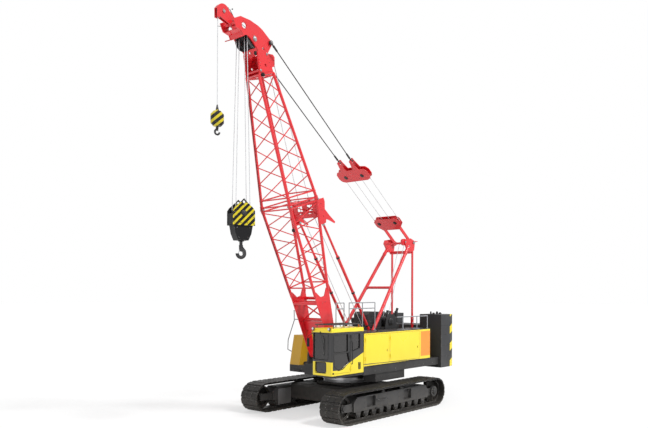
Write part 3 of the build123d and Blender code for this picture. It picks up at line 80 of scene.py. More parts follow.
# %% Camera
YAW, PITCH, ROLL = 218.513, 0.333, 0.187
camera_data = bpy.data.cameras.new("camera")
camera = bpy.data.objects.new("camera", camera_data)
bpy.context.scene.collection.objects.link(camera)
camera.location = (17.262, 15.016, 3.984)
aim = Matrix.Rotation(radians(YAW - 90), 4, "Z") @ Matrix.Rotation(radians(90 + PITCH), 4, "X")
camera.rotation_euler = (aim @ Matrix.Rotation(radians(ROLL), 4, "Z")).to_euler()
camera_data.sensor_width = 36
camera_data.lens = 36.7
camera_data.shift_x = -0.0803
camera_data.shift_y = 0.1151
bpy.context.scene.camera = camera
bpy.context.scene.view_settings.view_transform = "Standard"
print("lens", camera_data.lens)


# %% [markdown]
# ## Node helpers
# `fill` joins or sets a node's inputs, `make` adds a node, `calc` adds a Math node, and `group`
# opens a node group. Effects used by more than one material are groups.

# %% Node helpers
def fill(tree, node, inputs):
    """Fill inputs by name or number: a socket is joined, anything else is set as the constant."""
    for key, value in inputs.items():
        if isinstance(value, bpy.types.NodeSocket):
            tree.links.new(value, node.inputs[key])
        else:
            node.inputs[key].default_value = value


def make(tree, kind, label="", inputs=None, **settings):
    """Add a shader node with a label, plain attributes and filled inputs."""
    node = tree.nodes.new("ShaderNode" + kind)
    node.label = label
    for key, value in settings.items():
        setattr(node, key, value)
    fill(tree, node, inputs or {})
    return node


def calc(tree, operation, a, b=None, clamp=False):
    """A Math node over sockets or numbers; returns its output."""
    inputs = {0: a} if b is None else {0: a, 1: b}
    return make(tree, "Math", operation.lower(), inputs, operation=operation, use_clamp=clamp).outputs[0]


def group(name, inputs, output="Mask"):
    """Open a node group with a Place, the named inputs with their defaults, and one output."""
    tree = bpy.data.node_groups.new(name, "ShaderNodeTree")
    add = tree.interface.new_socket
    add("Place", in_out="INPUT", socket_type="NodeSocketVector")
    for label, value in inputs.items():
        kind = "NodeSocketVector" if isinstance(value, tuple) else "NodeSocketFloat"
        add(label, in_out="INPUT", socket_type=kind).default_value = value
    add(output, in_out="OUTPUT", socket_type="NodeSocketFloat" if output == "Mask" else "NodeSocketVector")
    return tree, tree.nodes.new("NodeGroupInput").outputs, tree.nodes.new("NodeGroupOutput")


def noise(tree, label, place, scale, detail):
    """Value of a noise texture at a place."""
    return make(tree, "TexNoise", label, {"Vector": place, "Scale": scale, "Detail": detail}).outputs["Fac"]


def split(tree, place):
    """The x, y and z of a place."""
    return make(tree, "SeparateXYZ", "x y z", {0: place}).outputs


def tone_group():
    """Mask of broad soft patches: noise above a level, made steeper."""
    tree, given, out = group("Tone patches", {"Scale": 1.5})
    patches = noise(tree, "patches", given["Place"], given["Scale"], 4)
    fill(tree, out, {"Mask": calc(tree, "MULTIPLY", calc(tree, "SUBTRACT", patches, 0.38), 3.6, True)})
    return tree


def edge_group():
    """Mask of worn edges: where a rounded normal leaves the face's own normal, broken up by noise."""
    tree, given, out = group("Edge wear", {"Reach": 0.5})
    do = partial(calc, tree)
    flat = make(tree, "NewGeometry", "shape").outputs["Normal"]
    rounded = make(tree, "Bevel", "rounded", {"Radius": 0.010}, samples=4).outputs["Normal"]
    dot = make(tree, "VectorMath", "departure", {0: rounded, 1: flat}, operation="DOT_PRODUCT")
    edge = do("MULTIPLY", do("SUBTRACT", 0.985, dot.outputs["Value"]), 9, True)
    spots = do("SUBTRACT", noise(tree, "chips", given["Place"], 9, 8), 1.0)
    chips = do("MULTIPLY", do("ADD", spots, given["Reach"]), 12, True)
    fill(tree, out, {"Mask": do("MULTIPLY", edge, chips, True)})
    return tree


def dust_group():
    """Mask of settled dust: thick low on the machine and on faces that look up, patchy by noise."""
    tree, given, out = group("Dust", {"Top": 1.2, "Amount": 0.5})
    do = partial(calc, tree)
    facing = split(tree, make(tree, "NewGeometry", "shape").outputs["Normal"])["Z"]
    low = do("SUBTRACT", 1.0, do("DIVIDE", split(tree, given["Place"])["Z"], given["Top"]), True)
    up = do("MULTIPLY", facing, 0.45, True)
    patches = do("MULTIPLY", noise(tree, "patches", given["Place"], 7, 8), 1.7, True)
    patchy = do("MULTIPLY", do("MAXIMUM", low, up), patches, True)
    fill(tree, out, {"Mask": do("MULTIPLY", patchy, given["Amount"], True)})
    return tree


def streak_group():
    """Mask of run-off streaks: noise drawn out along z, kept to its crests."""
    tree, given, out = group("Streaks", {"Scale": 9.0})
    drawn = make(tree, "VectorMath", "drawn out", {0: given["Place"], 1: (1.0, 1.0, 0.07)},
                 operation="MULTIPLY")
    runs = noise(tree, "runs", drawn.outputs["Vector"], given["Scale"], 6)
    fill(tree, out, {"Mask": calc(tree, "MULTIPLY", calc(tree, "SUBTRACT", runs, 0.52), 5, True)})
    return tree


def skin_group():
    """Fine surface relief: noise as a bumped normal."""
    tree, given, out = group("Skin", {"Scale": 60.0, "Depth": 0.1}, "Normal")
    grain = noise(tree, "grain", given["Place"], given["Scale"], 5)
    bump = make(tree, "Bump", "relief", {"Distance": 0.004, "Strength": given["Depth"], "Height": grain})
    fill(tree, out, {"Normal": bump.outputs["Normal"]})
    return tree


def stripe_group():
    """Mask of slanting bars: one in the first part of each pitch along a direction."""
    tree, given, out = group("Bars", {"Along": (0.0, 0.0, 1.0), "Pitch": 0.3, "Shift": 0.0})
    do = partial(calc, tree)
    along = make(tree, "VectorMath", "along", {0: given["Place"], 1: given["Along"]}, operation="DOT_PRODUCT")
    steps = do("DIVIDE", do("ADD", along.outputs["Value"], given["Shift"]), given["Pitch"])
    fill(tree, out, {"Mask": do("LESS_THAN", do("FRACT", steps), 0.56)})
    return tree


TONE, EDGE, DUST, RUNS = tone_group(), edge_group(), dust_group(), streak_group()
SKIN, BARS = skin_group(), stripe_group()
print("groups", [g.name for g in bpy.data.node_groups])


# %% [markdown]
# ## Materials
# `finish` makes every opaque material: a base colour (or a painted pattern), darker patches, chips
# along edges that bare the layer below, dust, and a relief. Its numbers are its look.

# %% Materials
RED, YELLOW, BLACK = (0.70, 0.012, 0.020), (0.88, 0.69, 0.008), (0.010, 0.010, 0.011)
MUTED_YELLOW, ORANGE, DUSTY = (0.60, 0.49, 0.020), (0.82, 0.27, 0.003), (0.27, 0.24, 0.20)
WEIGHT_GREY, BARE_STEEL = (0.036, 0.037, 0.040), (0.30, 0.29, 0.28)


def use(tree, kind, place, **values):
    """Put a node group into a material: its place is joined and its other inputs are set."""
    return make(tree, "Group", kind.name, {"Place": place, **values}, node_tree=kind).outputs[0]


def blend_color(tree, factor, a, b):
    """Mix two colours, each a socket or a plain colour, by a mask."""
    a, b = ((*c, 1) if isinstance(c, tuple) else c for c in (a, b))
    return make(tree, "Mix", "mix", {"Factor": factor, 6: a, 7: b}, data_type="RGBA").outputs[2]


def open_material(name):
    """A new material with its node tree, its shader and its place socket."""
    mat = bpy.data.materials.new(name)
    mat.use_nodes = True
    place = make(mat.node_tree, "TexCoord", "object place").outputs["Object"]
    return mat, mat.node_tree, mat.node_tree.nodes["Principled BSDF"], place


def finish(name, base, rough, metallic=0.0, shade=0.72, under=BARE_STEEL, wear=0.42, dust=0.35, top=1.1,
           grain=60.0, depth=0.08, coat=0.0, gloss=0.5, pattern=None):
    """Opaque material with patches, streaks, worn edges, dust and relief; a pattern paints the base."""
    mat, tree, shader, place = open_material(name)
    do = partial(calc, tree)
    color, dark = base, tuple(c * shade for c in base)
    if pattern:
        color = pattern(tree, place)
        dark = make(tree, "Mix", "deeper", {"Factor": 1, 6: color, 7: (shade, shade, shade, 1)},
                    data_type="RGBA", blend_type="MULTIPLY").outputs[2]
    tone = use(tree, TONE, place, Scale=1.3)
    color = blend_color(tree, do("MULTIPLY", tone, 0.45), color, dark)
    color = blend_color(tree, do("MULTIPLY", use(tree, RUNS, place, Scale=9.0), 0.25), color, dark)
    color = blend_color(tree, use(tree, EDGE, place, Reach=wear), color, under)
    settled = use(tree, DUST, place, Top=top, Amount=dust)
    rougher = do("MULTIPLY", do("MAXIMUM", settled, do("MULTIPLY", tone, 0.5)), 0.35)
    fill(tree, shader, {
        "Base Color": blend_color(tree, settled, color, DUSTY), "Roughness": do("ADD", rougher, rough, True),
        "Normal": use(tree, SKIN, place, Scale=grain, Depth=depth), "Metallic": metallic,
        "Coat Weight": coat, "Coat Roughness": 0.12, "Specular IOR Level": gloss})
    return mat


# %% [markdown]
# ## Painted patterns
# A pattern paints the base colour by place: an orange field and a thin line on the left house, the
# black and yellow cab, and slanting bars on the counterweight's corners, the block and the ball.

# %% Painted patterns
LEFT_SIDE_Y = 1.55
LINE_Z, LINE_RISE = (1.652, 1.672), -0.0216
FIELD_X, FIELD_Z = (-2.79, -2.2), (1.72, 2.60)
ROOF_EDGE_Z, ROOF_EDGE = 2.665, (0.06, 0.055, 0.05)
CAB_ROOF_Z, CAB_FOOT_Z = (2.755, 2.884), 1.60
SWEEP_RISE, SWEEP_Z = 0.42, 2.502
CAB_FRONT_X, CAB_FRONT_Z = 2.455, 1.86
CORNER_SLOPE, CORNER_REACH = 0.3103, 2.910
BLOCK_X, BLOCK_TURN, BLOCK_Z = 4.7, radians(-15), 6.26
BLOCK_FACE, BLOCK_STRIPES_Z = 0.2045, (5.90, 6.56)


def in_span(tree, value, span):
    """One where a value lies in a span."""
    return calc(tree, "MULTIPLY", calc(tree, "GREATER_THAN", value, span[0]),
                calc(tree, "LESS_THAN", value, span[1]))


def house_pattern(tree, place):
    """Left panels: yellow with a thin black line low down, an orange field at the rear, a black top edge."""
    do = partial(calc, tree)
    x, y, z = split(tree, place)
    side = do("GREATER_THAN", y, LEFT_SIDE_Y)
    line = in_span(tree, do("ADD", z, do("MULTIPLY", x, LINE_RISE)), LINE_Z)
    field = do("MULTIPLY", in_span(tree, x, FIELD_X), in_span(tree, z, FIELD_Z))
    color = blend_color(tree, do("MULTIPLY", field, side), YELLOW, ORANGE)
    color = blend_color(tree, do("MULTIPLY", line, side), color, BLACK)
    return blend_color(tree, do("GREATER_THAN", z, ROOF_EDGE_Z), color, ROOF_EDGE)


def cab_pattern(tree, place):
    """Cab: black frame around the glass, yellow roof band, yellow lower corner and yellow front frame."""
    do = partial(calc, tree)
    x, y, z = split(tree, place)
    corner = do("LESS_THAN", do("ADD", do("MULTIPLY", x, SWEEP_RISE), z), SWEEP_Z)
    front = do("MULTIPLY", do("GREATER_THAN", x, CAB_FRONT_X), do("LESS_THAN", z, CAB_FRONT_Z))
    low = do("MAXIMUM", do("LESS_THAN", z, CAB_FOOT_Z), front)
    high = do("MAXIMUM", in_span(tree, z, CAB_ROOF_Z), corner)
    return blend_color(tree, do("MAXIMUM", high, low), BLACK, YELLOW)


def bars_pattern(along, pitch, shift=0.0, only=None, rest=BLACK, bright=YELLOW):
    """Bright and black bars, kept to the region where only(tree, x, y, z) is one."""
    def paint(tree, place):
        mask = use(tree, BARS, place, Along=along, Pitch=pitch, Shift=shift)
        color = blend_color(tree, mask, bright, BLACK)
        if only is None:
            return color
        return blend_color(tree, only(tree, *split(tree, place)), rest, color)
    return paint


def rear_corner(tree, x, y, z):
    """Bevelled rear corners of the counterweight: |y| - slope x beyond a reach."""
    beyond = calc(tree, "SUBTRACT", calc(tree, "ABSOLUTE", y), calc(tree, "MULTIPLY", x, CORNER_SLOPE))
    return calc(tree, "GREATER_THAN", beyond, CORNER_REACH)


def block_top(tree, x, y, z):
    """Wide faces of the turned hook block above its weight."""
    do = partial(calc, tree)
    along = do("MULTIPLY", do("SUBTRACT", x, BLOCK_X), -sin(BLOCK_TURN))
    across = do("ADD", along, do("MULTIPLY", y, cos(BLOCK_TURN)))
    wide = do("GREATER_THAN", do("ABSOLUTE", across), BLOCK_FACE)
    return do("MULTIPLY", in_span(tree, z, BLOCK_STRIPES_Z), wide)


red = finish("red paint", RED, 0.28, coat=0.35, dust=0.08, shade=0.78, top=3.0, under=(0.24, 0.10, 0.08))
yellow = finish("yellow paint", YELLOW, 0.28, coat=0.35, dust=0.14, top=2.2, shade=0.86)
# Yellow darkened as painted shade, for the house's right side, which faces away from the key light.
shade_painted_yellow = finish("shaded yellow paint", (0.55, 0.31, 0.010), 0.32, coat=0.25, dust=0.14, top=2.2, shade=0.84)
left_panel = finish("left panel paint", YELLOW, 0.26, coat=0.4, wear=0.40, dust=0.10, top=2.2, shade=0.88,
                    pattern=house_pattern)
cab_paint = finish("cab paint", YELLOW, 0.28, coat=0.4, wear=0.40, dust=0.08, top=2.2, shade=0.88,
                   pattern=cab_pattern)
deck_paint = finish("deck paint", (0.030, 0.030, 0.032), 0.42, gloss=0.3, wear=0.46, dust=0.16, top=1.9)
frame_paint = finish("crawler frame paint", (0.036, 0.036, 0.038), 0.40, gloss=0.3, wear=0.50, dust=0.20,
                     top=0.9)
# Lighter grey as painted light: the sunlit inner face of each crawler frame near the front.
painted_light_grey = finish("guard plate with painted light", (0.16, 0.16, 0.165), 0.40, metallic=0.2, wear=0.5, dust=0.25,
                     top=0.9)
black = finish("black paint", BLACK, 0.38, gloss=0.3, wear=0.44, dust=0.16, top=1.8)
weight_paint = finish("counterweight paint", WEIGHT_GREY, 0.40, gloss=0.3, wear=0.46, dust=0.12, top=2.0,
                      pattern=bars_pattern((0.0, 0.9, 0.9), 0.58, 0.1, rear_corner, WEIGHT_GREY))
block_paint = finish("striped block paint", MUTED_YELLOW, 0.40, gloss=0.15, wear=0.50, dust=0.06, top=0.5,
                     shade=0.86, pattern=bars_pattern((0.68, -0.18, 0.70), 0.142, 0.05, block_top,
                                                      bright=MUTED_YELLOW))
ball_paint = finish("striped ball paint", MUTED_YELLOW, 0.34, gloss=0.3, wear=0.48, dust=0.10, top=0.5,
                    shade=0.86, pattern=bars_pattern((0.62, -0.26, 0.74), 0.155, bright=MUTED_YELLOW))
crawler = finish("crawler steel", (0.008, 0.008, 0.009), 0.40, metallic=0.1, gloss=0.2, wear=0.60, dust=0.20,
                 top=1.05, under=(0.20, 0.19, 0.18), grain=55, depth=0.45)
machined = finish("machined steel", (0.42, 0.42, 0.43), 0.30, metallic=0.9, wear=0.40, dust=0.12, grain=160,
                  depth=0.10)
dark_steel = finish("dark steel", (0.030, 0.030, 0.032), 0.38, metallic=0.4, wear=0.5, dust=0.12, grain=110,
                    depth=0.15)
wire = finish("bright wire", (0.60, 0.61, 0.63), 0.38, metallic=0.35, wear=0.2, dust=0.05, grain=300,
              depth=0.2)
greased = finish("greased wire", (0.045, 0.045, 0.048), 0.36, metallic=0.4, wear=0.3, dust=0.08, grain=300,
                 depth=0.2)
rail_paint = finish("rail paint", (0.30, 0.31, 0.33), 0.42, wear=0.5, dust=0.10)
rubber = finish("rubber", (0.012, 0.012, 0.012), 0.72, wear=0.2, dust=0.18, grain=220, depth=0.25)
plastic = finish("console plastic", (0.020, 0.020, 0.022), 0.55, wear=0.2, dust=0.2, grain=400, depth=0.3)
amber = finish("amber lens", (0.75, 0.22, 0.01), 0.15, wear=0.1, dust=0.1, coat=0.8)
lamp_lens = finish("lamp lens", (0.75, 0.76, 0.78), 0.12, wear=0.1, dust=0.1, coat=0.9)


def fabric(name, base):
    """Woven seat cloth: two crossed sets of threads as relief, with soft sheen."""
    mat = finish(name, base, 0.85, wear=0.1, dust=0.2, grain=500, depth=0.3)
    tree = mat.node_tree
    place = make(tree, "TexCoord", "object place").outputs["Object"]
    threads = [make(tree, "TexWave", "threads " + way, {"Vector": place, "Scale": 120},
                    bands_direction=way).outputs["Fac"] for way in ("X", "Z")]
    height = calc(tree, "MULTIPLY", *threads)
    weave = make(tree, "Bump", "weave", {"Distance": 0.002, "Height": height}).outputs["Normal"]
    fill(tree, tree.nodes["Principled BSDF"], {"Normal": weave, "Sheen Weight": 0.4})
    return mat


def tinted_glass():
    """Dark glass that lets some light through and mirrors the pale surroundings, with faint dust."""
    mat, tree, shader, place = open_material("tinted glass")
    film = use(tree, DUST, place, Top=2.4, Amount=0.20)
    fill(tree, shader, {
        "Base Color": blend_color(tree, film, (0.040, 0.036, 0.036), (0.22, 0.20, 0.18)),
        "Roughness": calc(tree, "ADD", calc(tree, "MULTIPLY", film, 0.5), 0.03),
        "Transmission Weight": 0.65, "IOR": 1.5, "Coat Weight": 0.2, "Coat Roughness": 0.03})
    return mat


seat_cloth = fabric("seat cloth", (0.030, 0.030, 0.036))
glass = tinted_glass()
print("materials", len(bpy.data.materials))

# %% [markdown]
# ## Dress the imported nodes
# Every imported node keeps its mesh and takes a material. Most follow the record's material slot,
# and a few have their own paint.

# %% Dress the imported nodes
BY_SLOT = {
    "red_paint": red, "yellow_paint": yellow, "dark_grey_paint": deck_paint, "black_paint": black,
    "track_steel": crawler, "machined_steel": machined, "wire_rope": wire, "window_glass": glass,
    "seat_fabric": seat_cloth, "console_plastic": plastic, "rail_paint": rail_paint,
    "stripe_paint": ball_paint,
}
BY_NODE = {
    "house_left": left_panel, "left_door_front": left_panel, "left_door_rear": left_panel,
    "cab_shell": cab_paint, "cab_door": cab_paint, "counterweight": weight_paint,
    "main_block": block_paint, "side_frame_left": frame_paint, "side_frame_right": frame_paint,
    # The right house and the right door take the yellow with painted shade.
    "house_right": shade_painted_yellow, "right_door": shade_painted_yellow, "main_hook": dark_steel, "aux_hook": dark_steel,
    "head_sheaves": dark_steel, "aux_sheave": dark_steel, "pendants": greased,
    "boom_drum": dark_steel, "main_drum": dark_steel, "aux_drum": dark_steel,
}
for part in frame["record"]["subparts"]:
    node = nodes[part["node"]]
    node.data.materials.clear()
    node.data.materials.append(BY_NODE.get(part["node"], BY_SLOT[part["material_slot"]]))


# %% [markdown]
# ## Mesh helpers
# New pieces are numpy surfaces. A surface is a grid of two parameters, turned into points and
# quads; `Piece` gathers many of them into one mesh and turns every closed shell outwards.

# %% Mesh helpers
X, Y, Z = np.eye(3)


def quads(rows, columns, wrap_rows=False):
    """Quads of a grid numbered row by row, whose columns close on themselves."""
    r = np.arange(rows if wrap_rows else rows - 1)
    r, c = np.meshgrid(r, np.arange(columns), indexing="ij")
    r1, c1 = (r + 1) % rows, (c + 1) % columns
    corners = (r * columns + c, r * columns + c1, r1 * columns + c1, r1 * columns + c)
    return np.stack(corners, axis=-1).reshape(-1, 4)


def shell(rows, columns):
    """Faces of a tube of rings, closed by a face at each end."""
    ring = np.arange(columns)
    return [quads(rows, columns), ring[None, ::-1], ((rows - 1) * columns + ring)[None]]


def circle(count, start=0.0):
    """Cosines and sines of angles spread evenly round a circle."""
    a = np.linspace(0, 2 * pi, count, endpoint=False) + start
    return np.cos(a), np.sin(a)


def frames_along(path, closed=False):
    """Normals and binormals along a path: each frame is the last one turned with the tangent."""
    if closed:
        tangent = np.roll(path, -1, axis=0) - np.roll(path, 1, axis=0)
    else:
        tangent = np.gradient(path, axis=0)
    tangent /= np.linalg.norm(tangent, axis=1)[:, None]
    guide = Z if abs(tangent[0][2]) < 0.9 else X
    normals = []
    for t in tangent:
        guide = unit(guide - t * (guide @ t))
        normals.append(guide)
    normals = np.array(normals)
    return normals, np.cross(tangent, normals)


def unit(way):
    """Vector of length one along a way."""
    return way / np.linalg.norm(way)


def basis(direction):
    """Three unit vectors square to each other, the last one along a direction."""
    w = unit(np.asarray(direction, float))
    u = unit(np.cross(w, Z if abs(w[2]) < 0.9 else X))
    return u, np.cross(w, u), w


def ring_of(centre, u, v, radius, count, start=0.0):
    """Places spread evenly on a circle in the plane of U and V."""
    c, s = circle(count, start)
    return np.asarray(centre, float) + radius * (c[:, None] * u + s[:, None] * v)


def cap(r, h, top_r, top_h):
    """Profile of a disc with a sloping shoulder, closed on top."""
    return [(r, 0), (r, h), (top_r, top_h), (0, top_h)]


def collar(inner, outer, half, lip):
    """Profile of a band round a tube, whose outer face runs from -lip to lip."""
    return [(inner, -half), (outer, -lip), (outer, lip), (inner, half)]


def both(low, high, side):
    """Two distances from the middle as an ordered pair of y on one side."""
    return sorted((side * low, side * high))


class Piece:
    """Collects surfaces into one mesh object."""

    def __init__(self, name, mat, body, slot=None):
        self.name, self.mat, self.body, self.slot = name, mat, body, slot
        self.points, self.faces, self.count = [], [], 0

    def add(self, points, faces):
        """Append one shell: points (n, 3) and faces as arrays of corner numbers."""
        points = np.asarray(points, float).reshape(-1, 3)
        volume = 0.0
        for block in faces:
            a = points[block[:, 0]]
            for k in range(1, block.shape[1] - 1):
                volume += np.einsum("ij,ij->", a, np.cross(points[block[:, k]], points[block[:, k + 1]]))
        self.faces += [(block if volume > 0 else block[:, ::-1]) + self.count for block in faces]
        self.points.append(points)
        self.count += len(points)

    def sweep(self, path, radius, sides, closed=False):
        """p(i, a) = path_i + r(i, a) (cos a N_i + sin a B_i), with flat ends unless it closes."""
        n, b = frames_along(path, closed)
        c, s = circle(sides)
        ring = c[None, :, None] * n[:, None] + s[None, :, None] * b[:, None]
        self.add(path[:, None] + radius[..., None] * ring,
                 [quads(len(path), sides, True)] if closed else shell(len(path), sides))

    def tube(self, path, radius, sides=10, closed=False):
        """Round tube along a path, with one radius or one for each point."""
        path = np.asarray(path, float)
        self.sweep(path, np.broadcast_to(np.asarray(radius, float), len(path))[:, None], sides, closed)

    def bent(self, points, corner, radius, steps=6, sides=8, closed=False):
        """Round tube through points, with rounded corners."""
        self.tube(round_corners(points, corner, steps, closed), radius, sides, closed)

    def rope(self, path, radius, around=18, step=0.02, strands=6, lay=0.12):
        """Laid rope: r(s, a) = R (0.87 + 0.13 |cos(n a / 2 + pi n s / 2 lay)|) along a path."""
        path = np.asarray(path, float)
        total = np.concatenate([[0], np.cumsum(np.linalg.norm(np.diff(path, axis=0), axis=1))])
        s = np.linspace(0, total[-1], max(3, int(total[-1] / step) + 1))
        line = np.stack([np.interp(s, total, path[:, k]) for k in range(3)], axis=1)
        a = np.linspace(0, 2 * pi, around, endpoint=False)
        ripple = np.abs(np.cos(strands * a[None] / 2 + pi * strands * s[:, None] / lay / 2))
        self.sweep(line, radius * (0.87 + 0.13 * ripple), around)

    def lathe(self, at, direction, profile, sides=20):
        """p(i, a) = at + h_i W + r_i (cos a U + sin a V) for (r, h) pairs, closed by end discs."""
        u, v, w = basis(direction)
        profile = np.asarray(profile, float)
        c, s = circle(sides)
        ring = c[:, None] * u + s[:, None] * v
        height = np.asarray(at, float) + profile[:, 1][:, None, None] * w
        self.add(height + profile[:, 0][:, None, None] * ring[None], shell(len(profile), sides))

    def bolts(self, places, direction, size):
        """At each place a hexagon head with a chamfered top on a round washer."""
        head = [(size * 0.62, size * 0.1), (size * 0.62, size * 0.55), (size * 0.50, size * 0.66)]
        for place in places:
            self.lathe(place, direction, [(size * 0.95, 0), (size * 0.95, size * 0.12)], 14)
            self.lathe(place, direction, head, 6)

    def plate(self, outline, origin, u, v, thick, bevel=0.003):
        """Flat outline of (a, b) pairs in the plane of U and V, thickened along U x V, rims bevelled."""
        u, v = np.asarray(u, float), np.asarray(v, float)
        flat = np.asarray(outline, float)
        inward = flat.mean(axis=0) - flat
        inner = flat + inward / np.maximum(np.linalg.norm(inward, axis=1), 1e-6)[:, None] * bevel
        rows = [(inner, 0), (flat, bevel), (flat, thick - bevel), (inner, thick)]
        origin, w = np.asarray(origin, float), np.cross(u, v)
        points = [origin + p[:, :1] * u + p[:, 1:] * v + h * w for p, h in rows]
        self.add(np.concatenate(points), shell(4, len(flat)))

    def block(self, low, high, bevel=0.004):
        """Box with bevelled edges on its outline across z."""
        (x0, y0, z0), (x1, y1, z1) = low, high
        outline = [(x0 + bevel, y0), (x1 - bevel, y0), (x1, y0 + bevel), (x1, y1 - bevel),
                   (x1 - bevel, y1), (x0 + bevel, y1), (x0, y1 - bevel), (x0, y0 + bevel)]
        self.plate(outline, (0, 0, z0), X, Y, z1 - z0, bevel)

    def build(self, smooth=40, ride=True):
        """Make the mesh object, smooth by angle, and let it ride on its body."""
        mesh = bpy.data.meshes.new(self.name)
        points = np.concatenate(self.points).astype(np.float32)
        sizes = np.concatenate([np.full(len(f), f.shape[1]) for f in self.faces])
        corners = np.concatenate([f.reshape(-1) for f in self.faces])
        mesh.vertices.add(len(points))
        mesh.vertices.foreach_set("co", points.reshape(-1))
        mesh.loops.add(len(corners))
        mesh.loops.foreach_set("vertex_index", corners.astype(np.int32))
        mesh.polygons.add(len(sizes))
        starts = np.concatenate([[0], np.cumsum(sizes)[:-1]]).astype(np.int32)
        mesh.polygons.foreach_set("loop_start", starts)
        mesh.polygons.foreach_set("use_smooth", np.ones(len(sizes), bool))
        mesh.update(calc_edges=True)
        mesh.validate()
        mesh.set_sharp_from_angle(angle=radians(smooth))
        mesh.materials.append(self.mat)
        obj = bpy.data.objects.new(self.name, mesh)
        bpy.context.scene.collection.objects.link(obj)
        if ride:
            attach(obj, self.body)
        print(self.name, len(sizes), "faces")
        return obj


def arc(centre, radius, start, stop, count, y):
    """Points on a circle in the side plane, angles in degrees from +x towards +z."""
    a = np.radians(np.linspace(start, stop, count))
    x, z = centre
    return np.stack([x + radius * np.cos(a), np.full(count, y), z + radius * np.sin(a)], axis=1)


def round_corners(points, radius, steps=6, closed=False):
    """Path with each corner replaced by a quadratic arc that starts and ends one radius from it."""
    points = [np.asarray(p, float) for p in points]
    path, count = [], len(points)
    for i, p in enumerate(points):
        if not closed and i in (0, count - 1):
            path.append(p)
            continue
        before, after = points[i - 1], points[(i + 1) % count]
        a = p + (before - p) * min(0.45, radius / np.linalg.norm(before - p))
        b = p + (after - p) * min(0.45, radius / np.linalg.norm(after - p))
        path += [(1 - t) ** 2 * a + 2 * t * (1 - t) * p + t ** 2 * b for t in np.linspace(0, 1, steps)]
    return np.array(path)


# %% [markdown]
# ## Shared places
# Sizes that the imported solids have, so that fittings land on them. `on_boom` turns a place given
# along the boom (s), across (y) and out of it (n) into the machine's frame; `on_line` does the
# same along the boom hoist rigging.

# %% Shared places
TILT = radians(71.8)
FOOT = (1.175, 1.9)
TRACK_Y, AXLE_Z, END_X = 1.79, 0.49, 2.385
SHOE, CHAIN_RADIUS = 0.042, 0.448
HOUSE_OUT, HOUSE_TOP = 1.575, 2.69
MAIN_SHEAVE, AUX_SHEAVE = (10.0, -0.2), (10.82, -0.90)
MAIN_ROPE_R, AUX_ROPE_R, ROPE, THIN_ROPE = 0.215, 0.162, 0.011, 0.009
GANTRY = (-3.25, 5.88)
DRUMS = {"main_drum": (-0.15, 2.15), "aux_drum": (-1.10, 2.15), "boom_drum": (-1.70, 2.93)}
SIDES = ((1, "left"), (-1, "right"))
ALONG_BOOM, OUT_OF_BOOM = np.array([[cos(TILT), 0, sin(TILT)], [-sin(TILT), 0, cos(TILT)]])


def on_boom(s, y, n):
    """Place given along the boom, across and out of it."""
    return np.array([FOOT[0] + s * cos(TILT) - n * sin(TILT), y, FOOT[1] + s * sin(TILT) + n * cos(TILT)])


main_x, _, main_z = on_boom(MAIN_SHEAVE[0], 0, MAIN_SHEAVE[1])
aux_x, _, aux_z = on_boom(AUX_SHEAVE[0], 0, AUX_SHEAVE[1])
head_x, nose_x = main_x + MAIN_ROPE_R, aux_x + AUX_ROPE_R
pendant_x, _, pendant_z = on_boom(9.87, 0, 0.395)
LINE_TILT = atan2(pendant_z - GANTRY[1], pendant_x - GANTRY[0])
LINE_LENGTH = hypot(pendant_x - GANTRY[0], pendant_z - GANTRY[1])
SQUARE_TO_LINE = np.array([-sin(LINE_TILT), 0, cos(LINE_TILT)])
LOWER_D, UPPER_D = 1.2, 3.62


def on_line(d, y, n):
    """Place given along the rigging from the gantry pin, across and square to it."""
    return np.array([GANTRY[0] + d * cos(LINE_TILT) - n * sin(LINE_TILT), y,
                     GANTRY[1] + d * sin(LINE_TILT) + n * cos(LINE_TILT)])


print("main sheave", round(main_x, 3), round(main_z, 3), "line", round(LINE_LENGTH, 3))

# %% [markdown]
# ## Ropes
# A laid rope is a tube whose radius ripples round it and turns as it goes. The hanging ropes and
# those between the spreaders run from one body to the next and ride on no body.

# %% Ropes
MAIN_FALLS_Y = (-0.24, -0.12, 0.12, 0.24)
BLOCK_EYES = ((0.226, -0.125), (0.226, 0.125), (-0.226, -0.125), (-0.226, 0.125))


def in_block(x, y, z):
    """Place in the turned hook block as a machine place."""
    return np.array([BLOCK_X + x * cos(BLOCK_TURN) - y * sin(BLOCK_TURN),
                     x * sin(BLOCK_TURN) + y * cos(BLOCK_TURN), z])


ropes = Piece("main_falls_rope", wire, "main_falls", "wire_rope")
for y, eye in zip(MAIN_FALLS_Y, BLOCK_EYES):
    ropes.rope([in_block(*eye, BLOCK_Z), (head_x, y, main_z - 0.25), (head_x, y, main_z)], ROPE, 12, 0.03)
falls = ropes.build(ride=False)
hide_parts("main_falls")
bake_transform(falls)

ropes = Piece("aux_falls_rope", wire, "aux_falls", "wire_rope")
ropes.rope([(nose_x, 0, 9.11), (nose_x, 0, aux_z)], ROPE, 12, 0.025)
falls = ropes.build(ride=False)
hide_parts("aux_falls")
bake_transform(falls)

turns = Piece("rope_over_sheaves", wire, "boom", "wire_rope")
for y in MAIN_FALLS_Y:
    turns.rope(arc((main_x, main_z), MAIN_ROPE_R, 0, 150, 24, y), ROPE, 10)
wrap = arc((aux_x, aux_z), AUX_ROPE_R, 0, 160, 22, 0.0)
aux_lead = on_boom(10.20, 0.02, 0.06)
turns.rope(wrap, ROPE, 10)
turns.rope(round_corners([wrap[-1], on_boom(10.36, 0, -0.10), aux_lead], 0.1), ROPE, 10)
turns.build()

ropes = Piece("spreader_ropes", wire, "lower_spreader", "wire_rope")
for y in (-0.56, -0.17, 0.17, 0.56):
    ropes.rope([on_line(LOWER_D, y, 0), on_line(UPPER_D, y, 0)], THIN_ROPE, 10, 0.03)
falls = ropes.build(ride=False)
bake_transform(falls)

